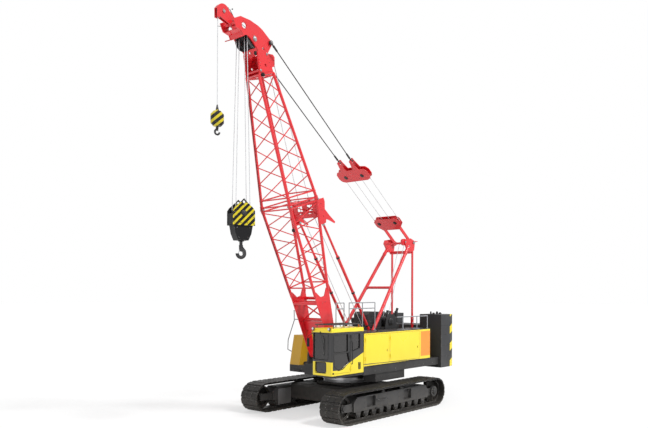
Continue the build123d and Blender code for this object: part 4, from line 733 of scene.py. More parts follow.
GUIDE_ROLLER = on_boom(4.69, 0, 0.64)
TURN_ROLLER = np.array([-0.62, 0.0, 2.64])
ROPE_RUNS = (("main_drum", 0.22, 1), ("aux_drum", -0.27, -1))
DRUM_ROPE_R = 0.26
RUN = unit(GUIDE_ROLLER - TURN_ROLLER)


def run_ends(y, side):
    """Ends of a hoist rope's straight run: beside the turning roller and over the guide roller."""
    low = TURN_ROLLER + np.array([-RUN[2], 0, RUN[0]]) * 0.043 * side + (0, y, 0)
    return low, GUIDE_ROLLER + OUT_OF_BOOM * 0.047 + (0, y, 0)


def run_bend(y):
    """Place where a hoist rope comes to the boom head, at half its distance from the middle."""
    return on_boom(9.4, y * 0.5, 0.553)


roller = Piece("rope_turn_roller", machined, "upperstructure", "machined_steel")
roller.lathe(TURN_ROLLER - (0, 0.56, 0), Y, [(0, 0), (0.045, 0), (0.045, 0.02), (0.033, 0.04), (0.033, 1.08),
                                             (0.045, 1.10), (0.045, 1.12), (0, 1.12)], 26)
roller.build()
ropes = Piece("hoist_ropes_drum", wire, "upperstructure", "wire_rope")
for drum, y, side in ROPE_RUNS:
    low, _ = run_ends(y, side)
    centre = np.array([DRUMS[drum][0], y, DRUMS[drum][1]])
    way = unit(low - centre)
    ropes.rope([centre + np.array([way[2], 0, -way[0]]) * DRUM_ROPE_R * side, low], ROPE, 10, 0.04)
ropes.build()
ropes = Piece("hoist_ropes_low", wire, "backstop_tubes", "wire_rope")
for _, y, side in ROPE_RUNS:
    ropes.rope(run_ends(y, side), ROPE, 10, 0.04)
falls = ropes.build(ride=False)
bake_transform(falls)
ropes = Piece("hoist_ropes_high", wire, "boom", "wire_rope")
for (_, y, side), end in zip(ROPE_RUNS, (on_boom(10.0, 0.12, 0.015), aux_lead)):
    ropes.rope(round_corners([run_ends(y, side)[1], run_bend(y), end], 0.06), ROPE, 10, 0.04)
ropes.build()

ropes = Piece("boom_hoist_rope", wire, "upperstructure", "wire_rope")
for y in (0.10, 0.32):
    ropes.rope([(-1.86, y, 2.98), (GANTRY[0] + 0.43, y + 0.06, GANTRY[1] - 0.06)], THIN_ROPE, 10, 0.04)
ropes.build()

TURNS, LAYER_LEFT, LAYER_WIDTH = 36, -0.49, 0.98
for name, barrel in (("main_drum", 0.23), ("aux_drum", 0.23), ("boom_drum", 0.17)):
    x, z = DRUMS[name]
    layer = Piece(name + "_rope", greased, name)
    r, t = barrel + 0.013, np.linspace(0, 1, 900)
    a = t * TURNS * 2 * pi
    wound = np.stack([x + r * np.cos(a), LAYER_LEFT + LAYER_WIDTH * t, z + r * np.sin(a)], axis=1)
    layer.tube(wound, 0.0115, 6)
    layer.bolts(ring_of((x, 0.545, z), X, Z, barrel + 0.07, 6), Y, 0.012)
    layer.build()

# %% [markdown]
# ## Crawlers
# Each shoe clear of the ground gets four bolts, and the chain beside each shoe shows its dog-bone
# link plates and the ends of its pins. The places go round the loop: two straight runs and two half circles.

# %% Crawlers
def loop_places(count_flat=21, count_bend=6):
    """Centre, heading and pitch of every shoe in the side plane."""
    flat, bend = 2 * END_X / count_flat, pi * CHAIN_RADIUS / count_bend
    half = [(-END_X + (k + 0.5) * flat, AXLE_Z + CHAIN_RADIUS, 0.0, flat) for k in range(count_flat)]
    for k in range(count_bend):
        a = (k + 0.5) * pi / count_bend
        half.append((END_X + CHAIN_RADIUS * sin(a), AXLE_Z + CHAIN_RADIUS * cos(a), -a, bend))
    return half + [(-x, 2 * AXLE_Z - z, a - pi, p) for x, z, a, p in half]


def link_outline(pitch):
    """Dog-bone outline of a link plate: two half circles and a waist."""
    outline = []
    for share, start, waist in ((-0.5, pi / 2, -0.052), (0.5, -pi / 2, -0.020)):
        for a in start + np.arange(7) * pi / 6:
            outline.append((share * pitch * 0.96 + 0.030 * cos(a), -0.036 + 0.030 * sin(a)))
        outline.append((share * pitch * 0.4, waist))
    return outline


for side, label in SIDES:
    bolts = Piece(f"shoe_bolts_{label}", dark_steel, "undercarriage", "track_steel")
    plates = Piece(f"link_plates_{label}", dark_steel, "undercarriage", "track_steel")
    for x, z, heading, pitch in loop_places():
        along, out = np.array([[cos(heading), 0, sin(heading)], [-sin(heading), 0, cos(heading)]])
        spot = np.array([x, side * TRACK_Y, z])
        if z > 0.12:
            bolts.bolts([spot + along * step * pitch + out * (SHOE - 0.004) + (0, y, 0)
                         for y in (-0.13, 0.13) for step in (-0.18, 0.20)], out, 0.020)
        for face, inner in ((-1, -0.1655), (1, 0.1765)):
            plates.plate(link_outline(pitch), spot + (0, inner, 0), along, out, 0.011, 0.002)
            plates.lathe(spot - along * pitch * 0.5 - out * 0.036 + (0, face * 0.176, 0), (0, face, 0),
                         [(0.015, 0), (0.015, 0.005), (0.010, 0.008)], 8)
    bolts.build()
    plates.build()

ROLLER_REACH = END_X - 0.65
for side, label in SIDES:
    out, face, inner = side * Y, side * (TRACK_Y + 0.23), side * (TRACK_Y - 0.23)
    piece = Piece(f"crawler_frame_fittings_{label}", dark_steel, "undercarriage")
    for x in (-0.86, -0.30, 0.30, 0.78, 1.48):
        piece.bolts([(x, face, z) for z in (0.42, 0.56, 0.70)], out, 0.016)
    drive = np.array([-END_X, side * (TRACK_Y + 0.245), AXLE_Z])
    piece.bolts(ring_of(drive, X, Z, 0.135, 10), out, 0.015)
    piece.lathe(drive, out,
                [(0.10, 0), (0.10, 0.03), (0.085, 0.045), (0.03, 0.05), (0.03, 0.06), (0, 0.06)], 28)
    piece.lathe((END_X, side * (TRACK_Y + 0.132), AXLE_Z), out,
                [(0.085, 0), (0.085, 0.05), (0.07, 0.07), (0.03, 0.075), (0, 0.075)], 24)
    piece.bolts(ring_of((END_X, side * (TRACK_Y + 0.20), AXLE_Z), X, Z, 0.062, 6), out, 0.011)
    for x in ROLLER_REACH * np.linspace(-1, 1, 10):
        for way in (-1, 1):
            piece.lathe((x, side * TRACK_Y + way * 0.198, 0.2204), way * Y, cap(0.05, 0.010, 0.03, 0.018), 14)
    piece.bent([(0.46, face, 0.59), (0.46, face + side * 0.06, 0.59), (0.88, face + side * 0.06, 0.59),
                (0.88, face, 0.59)], 0.04, 0.012)
    y0, y1 = both(TRACK_Y + 0.23, TRACK_Y + 0.33, side)
    for x in (0.47, 0.92):
        piece.block((x - 0.06, y0, 0.33), (x + 0.06, y1, 0.35))
    piece.build()

    # A plate on the inner side of each crawler frame near the front, painted lighter grey as painted light on
    # that face.
    guard = Piece(f"painted_light_plate_{label}", painted_light_grey, "undercarriage", "dark_grey_paint")
    y0, y1 = both(TRACK_Y - 0.242, TRACK_Y - 0.232, side)
    outline = [(1.16, 0.70), (1.74, 0.70), (1.76, 0.66), (1.76, 0.15)]
    outline += [(1.70 - 0.18 * k - 0.045 * j, 0.15 + 0.03 * (j % 2)) for k in range(3) for j in range(4)]
    outline += [(1.16, 0.15)]
    guard.plate(outline[::-1], (0, y1, 0), X, Z, y1 - y0)
    seen_y = y0 if side > 0 else y1
    guard.bolts([(x, seen_y, z) for x in (1.24, 1.46, 1.68) for z in (0.30, 0.62)], -out, 0.014)
    guard.build()

    hoses = Piece(f"travel_hoses_{label}", rubber, "undercarriage")
    for k in range(3):
        hoses.bent([(-2.05 + 0.08 * k, inner, 0.52 + 0.06 * k),
                    (-2.0 + 0.08 * k, inner - side * 0.22, 0.56 + 0.06 * k),
                    (-1.2, inner - side * 0.30, 0.60 + 0.05 * k),
                    (-1.1, inner - side * 0.42, 0.70)], 0.10, 0.018, 8)
    hoses.build()

teeth = Piece("slewing_gear", machined, "undercarriage", "machined_steel")
TEETH, STEPS = 120, 8
a = np.linspace(0, 2 * pi, TEETH * STEPS, endpoint=False)
r = 0.772 + 0.020 * np.clip(1.6 * np.cos(a * TEETH), -1, 1)
teeth.add([np.column_stack([k * r * np.cos(a), k * r * np.sin(a), np.full(len(a), z)])
           for k, z in ((0.985, 0.968), (1, 0.972), (1, 1.035), (0.985, 1.039))], shell(4, len(a)))
teeth.bolts(ring_of((0, 0, 0.96), X, Y, 0.80, 40), Z, 0.013)
teeth.build()


# %% [markdown]
# ## Deck and houses
# Fittings on the revolving frame: hoses, tread plates, latches, louvres, lifting eyes, rails' feet.

# %% Deck and houses
def slats(name, mat, body, x0, x1, z0, z1, count, side):
    """Row of slanting slats on a side face, each a thin bevelled plate, in a frame of four bars."""
    piece, pitch = Piece(name, mat, body, "yellow_paint"), (z1 - z0) / count
    outline = [(0, 0.4), (0.018, 0.05), (0.022, 0.05), (0.004, 0.65), (0, 0.65)]
    for k in range(count):
        piece.plate([(a, b * pitch) for a, b in outline],
                    (x0 if side > 0 else x1, side * HOUSE_OUT, z0 + k * pitch), side * Y, Z, x1 - x0, 0.0005)
    y0, y1 = both(HOUSE_OUT, HOUSE_OUT + 0.010, side)
    for xa, xb, za, zb in ((x0 - 0.012, x1 + 0.012, z0 - 0.02, z0 - 0.005),
                           (x0 - 0.012, x1 + 0.012, z1 + 0.005, z1 + 0.02),
                           (x0 - 0.016, x0 - 0.002, z0 - 0.02, z1 + 0.02),
                           (x1 + 0.002, x1 + 0.016, z0 - 0.02, z1 + 0.02)):
        piece.block((xa, y0, za), (xb, y1, zb), 0.002)
    piece.build()


def bead(name, body, outlines, corner, steps, radius=0.008, sides=8):
    """Rubber seal round each closed outline."""
    seal = Piece(name, rubber, body)
    for outline in outlines:
        seal.bent(outline, corner, radius, steps, sides, True)
    seal.build()


slats("cab_vent", black, "upperstructure", 1.17, 1.25, 1.58, 1.76, 6, 1)
# Louvres on the right side take the yellow with painted shade.
slats("right_door_louvres", shade_painted_yellow, "right_door", -1.95, -0.75, 1.80, 2.50, 12, -1)
slats("rear_house_louvres", shade_painted_yellow, "upperstructure", -2.70, -2.24, 1.76, 2.50, 12, -1)

DOORS = (("left_door_front", 1, -0.25, (-0.35, 0.90)), ("left_door_rear", 1, -2.02, (-2.12, -0.41)),
         ("right_door", -1, -2.02, (-2.12, -0.41)))
LATCH_Z, SEAL_Z = 2.065, (1.66, 2.63)
for name, side, latch_x, (x0, x1) in DOORS:
    piece = Piece(name + "_latch", black, name)
    piece.lathe((latch_x, side * HOUSE_OUT, LATCH_Z), side * Y, cap(0.036, 0.006, 0.026, 0.010), 20)
    piece.lathe((latch_x, side * (HOUSE_OUT + 0.009), LATCH_Z), side * Y,
                [(0.012, 0), (0.012, 0.006), (0, 0.006)], 12)
    piece.build()
    y = side * (HOUSE_OUT - 0.004)
    corners = [(x0, y, SEAL_Z[0]), (x1, y, SEAL_Z[0]), (x1, y, SEAL_Z[1]), (x0, y, SEAL_Z[1])]
    bead(name + "_seal", "upperstructure", [corners], 0.02, 4, 0.004, 6)

trim = Piece("house_roof_fittings", black, "upperstructure")
for side, _ in SIDES:
    for x in (-2.55, -1.30, 0.15):
        trim.lathe((x, side * 1.46, HOUSE_TOP), Z,
                   [(0.035, 0), (0.035, 0.012), (0.016, 0.016), (0.016, 0.03)], 14)
        trim.tube(arc((x, HOUSE_TOP + 0.052), 0.026, 0, 360, 17, side * 1.46)[:-1], 0.008, 8, True)
    y0, y1 = both(0.86, 1.40, side)
    for x in -2.70 + 0.235 * np.arange(12):
        if abs(x + 0.9) > 0.1:
            trim.block((x, y0, HOUSE_TOP), (x + 0.12, y1, HOUSE_TOP + 0.003), 0.001)
trim.lathe((-0.05, -1.15, HOUSE_TOP), Z,
           [(0.05, 0), (0.05, 0.02), (0.065, 0.025), (0.065, 0.06), (0.05, 0.075), (0, 0.075)], 20)
trim.build()
cleaner = Piece("pre_cleaner", plastic, "upperstructure")
cleaner.lathe((-1.75, -1.2, HOUSE_TOP), Z,
              [(0.05, 0), (0.05, 0.16), (0.09, 0.18), (0.10, 0.30), (0.07, 0.34), (0, 0.35)], 24)
cleaner.build()

HOUSE_REAR = -2.792
edge = Piece("house_edges", black, "upperstructure")
for side, front in ((1, 0.97), (-1, 0.20)):
    y0, y1 = both(HOUSE_OUT - 0.03, HOUSE_OUT + 0.002, side)
    edge.block((HOUSE_REAR, y0, 2.672), (front, y1, HOUSE_TOP + 0.004), 0.003)
    edge.block((HOUSE_REAR, y0, 1.590), (front, y1, 1.618), 0.003)
for z in (1.62, 2.16, 2.665):
    edge.bolts([(-2.79, y, z) for y in (0.9, 1.2, 1.5)], -X, 0.012)
edge.build()

hoses = Piece("deck_hoses", rubber, "upperstructure")
for k in range(4):
    y = -0.42 + 0.055 * k
    hoses.bent([(0.36, y, 1.60), (0.50, y, 1.72), (0.95, y, 1.74 + 0.02 * k), (1.18, y * 1.1, 1.62)],
               0.08, 0.016, 8)
for k in range(3):
    y, z = 0.62 + 0.05 * k, 1.66 + 0.05 * k
    hoses.bent([(-2.2, 0.70, 1.60), (-2.2, 0.70, z), (-0.6, y - 0.02, z), (0.2, y, 1.62)], 0.10, 0.015, 8)
for k in range(3):
    y = -0.14 + 0.07 * k
    hoses.bent([(-0.45, y, 2.95), (-0.36, y, 2.80), (-0.40, y, 2.45)], 0.06, 0.014)
hoses.build()

TREAD = 0.09
treads = Piece("deck_treads", frame_paint, "upperstructure", "dark_grey_paint")
for y0, y1, x0, x1 in ((-1.56, -0.75, 0.30, 0.92), (-0.70, 0.70, -3.30, -2.25)):
    for i in range(int((x1 - x0) / TREAD)):
        for j in range(int((y1 - y0) / TREAD)):
            a = (1 if (i + j) % 2 else -1) * pi / 4
            u, v = np.array([[cos(a), sin(a), 0], [-sin(a), cos(a), 0]])
            at = np.array([x0 + TREAD / 2 + i * TREAD, y0 + TREAD / 2 + j * TREAD, 1.59])
            if not (-1.5 < at[1] < -1.1 and 0.2 < at[0] < 1.0):
                treads.plate([(-0.028, 0), (0, -0.006), (0.028, 0), (0, 0.006)], at, u, v, 0.004, 0.0008)
treads.build()

side_bolts = Piece("deck_side_bolts", dark_steel, "upperstructure")
for side, _ in SIDES:
    side_bolts.bolts([(x, side * 1.56, 1.42) for x in np.arange(-3.25, 0.95, 0.28)], side * Y, 0.014)
    side_bolts.bolts([(x, side * 1.525, 1.20) for x in (-1.2, -0.8, -0.4, 0.0, 0.2)], side * Y, 0.013)
side_bolts.bolts([(1.2, y, 1.38) for y in (-1.5, -1.25, -1.0, -0.78)], X, 0.013)
side_bolts.build()

feet = Piece("handrail_feet", rail_paint, "upperstructure", "rail_paint")
for x, y, z in ([(x, 0.90, 2.88) for x in (1.57, 1.18)] + [(x, 0.90, 2.69) for x in (0.93, -0.42, 0.25)]
                + [(x, 1.495, 2.69) for x in (-2.73, -1.23, -2.07)] + [(0.94, -1.18, 2.50)]):
    feet.lathe((x, y, z), Z, [(0.045, 0), (0.045, 0.008), (0.024, 0.012), (0.022, 0.03)], 16)
    feet.bolts([(x + 0.033 * cos(a), y + 0.033 * sin(a), z + 0.006) for a in (0.8, 2.4, 3.9, 5.5)], Z, 0.006)
feet.build()

stack = Piece("exhaust_cap", dark_steel, "upperstructure")
stack.lathe((-2.19, 0.48, 3.02), Z, [(0.066, 0), (0.070, 0.004), (0.070, 0.020), (0.066, 0.024)], 24)
stack.lathe((-2.19, 0.48, 2.10), Z, [(0.064, 0), (0.10, 0.02), (0.10, 0.74), (0.064, 0.78)], 28)
stack.build()

# %% [markdown]
# ## Counterweight
# Seams between the cast slabs, tie bolts and a tail lamp on each rear corner.

# %% Counterweight
WEIGHT_TOP = 3.17
weight = Piece("counterweight_fittings", black, "upperstructure")
for z in (1.62, 2.02, 2.42, 2.76):
    for side, _ in SIDES:
        y0, y1 = both(1.660, 1.6745, side)
        weight.block((-3.995, y0, z), (-3.385, y1, z + 0.010), 0.002)
    weight.block((-4.2898, -1.55, z), (-4.28, 1.55, z + 0.010), 0.002)
for side, _ in SIDES:
    for x in (-3.60, -4.05):
        weight.lathe((x, side * 1.19, WEIGHT_TOP), Z,
                     [(0.07, 0), (0.07, 0.02), (0.045, 0.03), (0.045, 0.06), (0, 0.06)], 6)
    weight.lathe((-3.70, side * 1.0, WEIGHT_TOP), Z, cap(0.03, 0.09, 0.022, 0.10), 16)
weight.build()
tail_lamp = Piece("tail_lamps", amber, "upperstructure")
for side, _ in SIDES:
    tail_lamp.lathe((-4.283, side * 1.40, 1.40), -X,
                    [(0.05, 0), (0.05, 0.004), (0.04, 0.006), (0, 0.0065)], 20)
tail_lamp.build()

# %% [markdown]
# ## Cab
# Rubber seals follow the window outlines. The seat is a crowned cushion, a back cushion and a head
# pad on a metal base: each is |x/a|^n + |y/b|^n + |z/c|^n = 1 with a higher n for squarer corners.

# %% Cab
CAB_OUT, CAB_IN_Y, CAB_NOSE = 1.575, 0.765, 2.50
SEAT_Y, ARM, LAMP_Y = 1.17, 0.25, (0.84, 1.50)
DOOR_PANES = (((1.76, 2.69), (2.417, 2.69), (2.417, 2.145), (1.757, 2.145)),
              ((1.755, 2.115), (2.417, 2.115), (2.417, 2.0), (2.382, 1.73), (2.217, 1.58), (1.987, 1.62),
               (1.67, 1.83)))
REAR_PANE = ((1.18, 2.69), (1.57, 2.69), (1.57, 2.13), (1.18, 2.22))
RIGHT_PANE = ((1.14, 2.72), (2.38, 2.72), (2.38, 1.90), (1.14, 1.90))
FRONT_PANES = ((0.80, 1.425, 1.92, 2.73), (0.88, 1.34, 1.515, 1.85))
for name, body, panes, y in (("cab_door_seals", "cab_door", DOOR_PANES, CAB_OUT - 0.002),
                             ("cab_side_seals", "upperstructure", (REAR_PANE,), CAB_OUT - 0.002),
                             ("cab_right_seal", "upperstructure", (RIGHT_PANE,), CAB_IN_Y + 0.002)):
    bead(name, body, [[(x, y, z) for x, z in pane] for pane in panes], 0.03, 5)
bead("cab_front_seals", "upperstructure",
     [[(CAB_NOSE - 0.002, y, z) for y, z in ((y0, z0), (y1, z0), (y1, z1), (y0, z1))]
      for y0, y1, z0, z1 in FRONT_PANES], 0.05, 6)

wiper = Piece("wiper", black, "upperstructure")
wiper.lathe((2.502, 1.10, 2.76), X, cap(0.022, 0.012, 0.010, 0.02), 14)
wiper.tube([(2.512, 1.10, 2.76), (2.514, 1.19, 2.50), (2.506, 1.24, 2.32)], 0.005, 6)
wiper.block((2.494, 1.225, 2.05), (2.502, 1.240, 2.62), 0.001)
wiper.build()

fit = Piece("cab_fittings", black, "upperstructure")
for y in LAMP_Y:
    fit.bent([(2.50, y, 2.80), (2.545, y, 2.80), (2.545, y, 2.845)], 0.02, 0.008)
    fit.lathe((2.545, y, 2.87), X, [(0.030, -0.035), (0.045, -0.02), (0.048, 0.02), (0.044, 0.028)], 20)
fit.bent([(1.60, CAB_OUT, 1.75), (1.60, 1.63, 1.75), (1.60, 1.63, 2.45), (1.60, CAB_OUT, 2.45)], 0.04, 0.011)
fit.lathe((2.44, CAB_OUT, 1.52), Y, cap(0.030, 0.010, 0.020, 0.014), 18)
fit.bent([(2.47, CAB_IN_Y, 2.70), (2.50, 0.70, 2.70), (2.56, 0.62, 2.62), (2.56, 0.62, 2.30)], 0.04, 0.009)
fit.block((2.53, 0.56, 2.30), (2.555, 0.68, 2.56), 0.010)
fit.build()
glow = Piece("cab_lamps", lamp_lens, "upperstructure")
for y in LAMP_Y:
    glow.lathe((2.545, y, 2.87), X, [(0.042, 0.022), (0.036, 0.032), (0.018, 0.037), (0, 0.038)], 20)
glow.build()
beacon = Piece("beacon", amber, "upperstructure")
beacon.lathe((1.10, 1.47, 2.88), Z,
             [(0.045, 0), (0.045, 0.02), (0.036, 0.024), (0.036, 0.09), (0.026, 0.108), (0, 0.112)], 20)
beacon.build()
handle = Piece("cab_door_handle", black, "cab_door")
handle.bent([(1.70, CAB_OUT, 1.98), (1.70, 1.605, 1.98), (1.70, 1.605, 2.12), (1.70, CAB_OUT, 2.12)],
            0.02, 0.008)
handle.lathe((1.70, CAB_OUT, 1.93), Y, cap(0.018, 0.008, 0.010, 0.012), 14)
handle.build()


def cushion(name, centre, half, power, crown, lean=0.0):
    """Superellipsoid with a crowned top sewn down along two lines, and a seam round it."""
    u = np.linspace(-pi / 2, pi / 2, 25)
    v = np.linspace(0, 2 * pi, 48, endpoint=False)
    uu, vv = np.meshgrid(u, v, indexing="ij")

    def squash(t):
        return np.sign(t) * np.abs(t) ** (2 / power)

    def placed(x, y, z):
        return np.stack([x * cos(lean) - z * sin(lean) + centre[0], y + centre[1],
                         x * sin(lean) + z * cos(lean) + centre[2]], axis=-1)

    x = squash(np.cos(uu)) * squash(np.cos(vv)) * half[0]
    y = squash(np.cos(uu)) * squash(np.sin(vv)) * half[1]
    z = squash(np.sin(uu)) * half[2]
    z = z + crown * (1 - (x / half[0]) ** 2) * (1 - (y / half[1]) ** 2) * (z > 0)
    z = z - 0.008 * np.exp(-((np.abs(y) - half[1] * 0.55) / 0.012) ** 2) * (z > 0)
    piece = Piece(name, seat_cloth, "upperstructure", "seat_fabric")
    piece.add(placed(x, y, z), [quads(25, 48)])
    piece.tube(placed(squash(np.cos(v)) * half[0], squash(np.sin(v)) * half[1], np.zeros(48)), 0.004, 6, True)
    obj = piece.build(70)
    return obj


seat = cushion("seat_cushion", (1.55, SEAT_Y, 1.87), (0.24, 0.23, 0.06), 4.5, 0.025, 0.05)
cushion("back_cushion", (1.345, SEAT_Y, 2.20), (0.29, 0.22, 0.05), 4.5, 0.03, pi / 2 + 0.15)
cushion("head_pad", (1.285, SEAT_Y, 2.535), (0.085, 0.13, 0.04), 3.5, 0.012, pi / 2 + 0.12)
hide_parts("operator_seat")
base = Piece("seat_base", plastic, "upperstructure")
base.block((1.36, 0.98, 1.50), (1.74, 1.36, 1.56), 0.01)
base.block((1.40, 1.02, 1.56), (1.70, 1.32, 1.80), 0.02)
for y in (SEAT_Y - ARM, SEAT_Y + ARM):
    base.bent([(1.36, y, 1.98), (1.60, y, 2.02), (1.66, y, 2.00)], 0.03, 0.028, sides=10)
    base.tube([(1.62, y, 2.03), (1.64, y, 2.14)], 0.010, 8)
    base.lathe((1.64, y, 2.14), Z,
               [(0.012, -0.01), (0.022, 0.01), (0.022, 0.03), (0.012, 0.05), (0, 0.052)], 14)
base.build()
panel = Piece("console_controls", plastic, "upperstructure", "console_plastic")
for y in 1.00 + 0.11 * np.arange(4):
    panel.tube([(2.22, y, 2.08), (2.20, y, 2.22)], 0.008, 8)
    panel.lathe((2.20, y, 2.22), Z, [(0.010, -0.01), (0.018, 0.0), (0.018, 0.02), (0, 0.03)], 12)
panel.block((2.24, 0.99, 2.08), (2.36, 1.20, 2.26), 0.01)
panel.build()

# %% [markdown]
# ## Boom
# Pins and keepers at the chord joints, shaft ends at the head and the foot, a lamp and a wind
# gauge near the nose, limit switch boxes, and weld seams where the lacing meets the chords.

# %% Boom
STATIONS = ((2.18, 0.530, 0.315), (5.09, 0.622, 0.612), (9.0, 0.260, 0.300))
JOINT_S, JOINT_W, JOINT_D = STATIONS[1]
CHORDS = [(side, face) for side in (-1, 1) for face in (-1, 1)]


def pin_end(piece, at, direction, radius, keeper=None):
    """Shaft end with a chamfer, a washer and a keeper plate with two bolts."""
    piece.lathe(at, direction, [(radius * 1.5, 0), (radius * 1.5, 0.008), (radius * 1.05, 0.010),
                                (radius * 1.05, 0.028), (radius * 0.85, 0.036), (0, 0.036)], 24)
    if keeper is not None:
        u, v, w = basis(direction)
        spot = np.asarray(at, float) + np.asarray(keeper, float) * radius * 1.5
        corners = [(-0.030, -0.012), (0.030, -0.012), (0.030, 0.012), (-0.030, 0.012)]
        piece.plate(corners, spot + w * 0.008, u, v, 0.008, 0.002)
        piece.bolts([spot + u * step + w * 0.016 for step in (-0.02, 0.02)], direction, 0.008)


def chord(s, side, face):
    """Chord centre at a station along the boom."""
    (s0, w0, d0), (s1, w1, d1) = STATIONS[:2] if s <= JOINT_S else STATIONS[1:]
    t = (s - s0) / (s1 - s0)
    return on_boom(s, side * (w0 + (w1 - w0) * t), face * (d0 + (d1 - d0) * t))


def at_station(a, b, s):
    """Point of a line a to b that lies at station s of the boom."""
    low, high = (float(np.dot(p - on_boom(0, 0, 0), ALONG_BOOM)) for p in (a, b))
    return a + (b - a) * (s - low) / (high - low)


pins = Piece("boom_joint_pins", machined, "boom", "machined_steel")
for side, _ in SIDES:
    out = side * Y
    for face in (-1, 1):
        at = on_boom(JOINT_S, side * JOINT_W, face * JOINT_D)
        pins.lathe(at - 0.075 * out, out, [(0.026, 0), (0.026, 0.150), (0.020, 0.156), (0, 0.156)], 16)
        pins.lathe(at - 0.081 * out, out, [(0.036, 0), (0.036, 0.010), (0.026, 0.012)], 16)
        pins.tube(arc((at[0], at[2] - 0.035), 0.014, 0, 360, 13, at[1] + side * 0.080)[:-1], 0.003, 6, True)
    for s, y, n, radius, keeper in ((0, 0.630, 0, 0.055, ALONG_BOOM),
                                    (MAIN_SHEAVE[0], 0.326, MAIN_SHEAVE[1], 0.05, ALONG_BOOM),
                                    (9.12, 0.318, -0.240, 0.022, None), (9.56, 0.318, 0.150, 0.024, None),
                                    (AUX_SHEAVE[0], 0.078, AUX_SHEAVE[1], 0.030, ALONG_BOOM),
                                    (9.87, 0.374, 0.395, 0.026, None)):
        pin_end(pins, on_boom(s, side * y, n), out, radius, keeper)
pins.build()

LACED = ((2.44, 4.98, 6), (5.36, 8.96, 7))
hoops = Piece("boom_weld_collars", red, "boom", "red_paint")
for s in (2.44, 4.98, 5.14, 5.36, 8.96):
    for side, face in CHORDS:
        here = chord(s, side, face)
        hoops.lathe(here, chord(s + 0.02, side, face) - here, collar(0.047, 0.052, 0.03, 0.024), 20)
for low, high, panels in LACED:
    for s in low + (high - low) * np.arange(panels + 1) / panels:
        for side, face in CHORDS:
            here = chord(s, side, face)
            for aim in (chord(s, side, -face), chord(s, -side, face)):
                way = unit(aim - here)
                hoops.lathe(here + way * 0.040, way, [(0.030, 0), (0.024, 0.006), (0.0205, 0.014)], 10)
hoops.build()

head = Piece("boom_head_bolts", dark_steel, "boom")
for side, _ in SIDES:
    out, k, j = side * Y, np.arange(6), np.arange(7)
    edges = [*zip(9.07 + 0.09 * k, -0.245 + 0.012 * k), *zip(9.07 + 0.12 * j, 0.215 - 0.02 * j)]
    nose = [(10.385 + 0.115 * cos(a), -0.48 + 0.115 * sin(a)) for a in np.arange(8) * pi / 4]
    for y, size, spots in ((0.318, 0.011, edges), (0.306, 0.010, nose),
                           (0.175, 0.012, [(s, 0.50) for s in (9.30, 9.39, 9.48)]),
                           (0.622, 0.014, [(s, 0.75) for s in (4.30, 4.50, 4.70, 4.90)]),
                           (0.545, 0.015, [(s, n) for s in (0.20, 1.85) for n in (-0.06, 0.06)])):
        head.bolts([on_boom(s, side * y, n) for s, n in spots], out, size)
    root = on_boom(10.50, side * 0.291, -0.80)
    head.tube([root, root + (0.09, side * 0.02, -0.02)], 0.008, 6)
head.lathe(on_boom(9.40, -0.16, 0.50), Y,
           [(0.058, 0), (0.058, 0.02), (0.048, 0.03), (0.048, 0.29), (0.058, 0.30), (0.058, 0.32)], 22)
head.build()

leads = Piece("rope_fairleads", dark_steel, "boom")
for _, y, side in ROPE_RUNS:
    under, over = run_ends(y, side)
    for a, b, s in ((under, over, 4.515), (over, run_bend(y), 5.035)):
        leads.lathe(at_station(a, b, s), b - a, [(0.015, -0.028), (0.034, -0.034), (0.042, -0.026),
                                                 (0.042, 0.026), (0.034, 0.034), (0.015, 0.028),
                                                 (0.015, -0.028)], 24)
leads.build()

gear = Piece("boom_switches", black, "boom")
for at in (on_boom(9.62, 0.235, -0.20), chord(4.2, -1, 1) + (0.06, 0.05, -0.05), on_boom(1.30, 0.49, 0.05)):
    gear.block(at - (0.04, 0.05, 0.05), at + (0.04, 0.05, 0.05), 0.012)
lamp_at = on_boom(9.00, 0.33, -0.20)
gear.lathe(lamp_at, (0.5, 0.5, -0.7), [(0.030, -0.04), (0.055, 0.0), (0.060, 0.03), (0.052, 0.034)], 20)
gear.tube([lamp_at - (0, 0.06, 0.0), lamp_at], 0.012, 8)
GAUGE = on_boom(10.89, 0.0, -0.60)
gear.tube([on_boom(10.62, 0.0, -0.50), on_boom(10.76, 0.0, -0.55), GAUGE], 0.010, 8)
for a in 2 * pi * np.arange(3) / 3:
    tip = GAUGE + (0.07 * cos(a), 0.07 * sin(a), 0.01)
    gear.tube([GAUGE, tip], 0.003, 6)
    gear.lathe(tip, (-sin(a), cos(a), 0), [(0, 0), (0.018, 0.008), (0.020, 0.02)], 12)
cable = [chord(s, -1, -1) + 0.03 * Y + (0.006 * sin(k * 1.7) - 0.055) * OUT_OF_BOOM
         for k, s in enumerate(np.linspace(2.3, 8.9, 34))]
gear.tube(cable, 0.009, 6)
gear.build()

# %% [markdown]
# ## Gantry, rigging and backstops
# Pin ends and collars on the gantry, winch bearings, spreader bolts, pendants with their sockets,
# and the collars and rod ends of the backstops.

# %% Gantry, rigging and backstops
LEG_FOOT, LEG_HEAD = (-0.03, 0.728, 1.90), (-2.95, 0.478, 5.72)
frame_fit = Piece("gantry_pins", machined, "upperstructure", "machined_steel")
for side, _ in SIDES:
    out = side * Y
    for x, y, z, radius, keeper in ((GANTRY[0], 0.528, GANTRY[1], 0.036, X),
                                    (LEG_HEAD[0], 0.508, LEG_HEAD[2], 0.030, None),
                                    (LEG_FOOT[0], 0.788, LEG_FOOT[2], 0.040, X),
                                    (-3.21, 0.508, 2.82, 0.020, None), (-3.21, 0.508, 2.98, 0.020, None)):
        pin_end(frame_fit, (x, side * y, z), out, radius, keeper)
    frame_fit.bolts([(x, side * 0.508, z) for x in (-3.24, -3.18) for z in (2.78, 2.90, 3.02)], out, 0.009)
frame_fit.lathe((GANTRY[0] + 0.55, 0.473, GANTRY[1] - 0.01), Y, [(0.03, 0.04), (0.03, 0.07), (0, 0.07)], 16)
frame_fit.build()
spike = Piece("gantry_trim", red, "upperstructure", "red_paint")
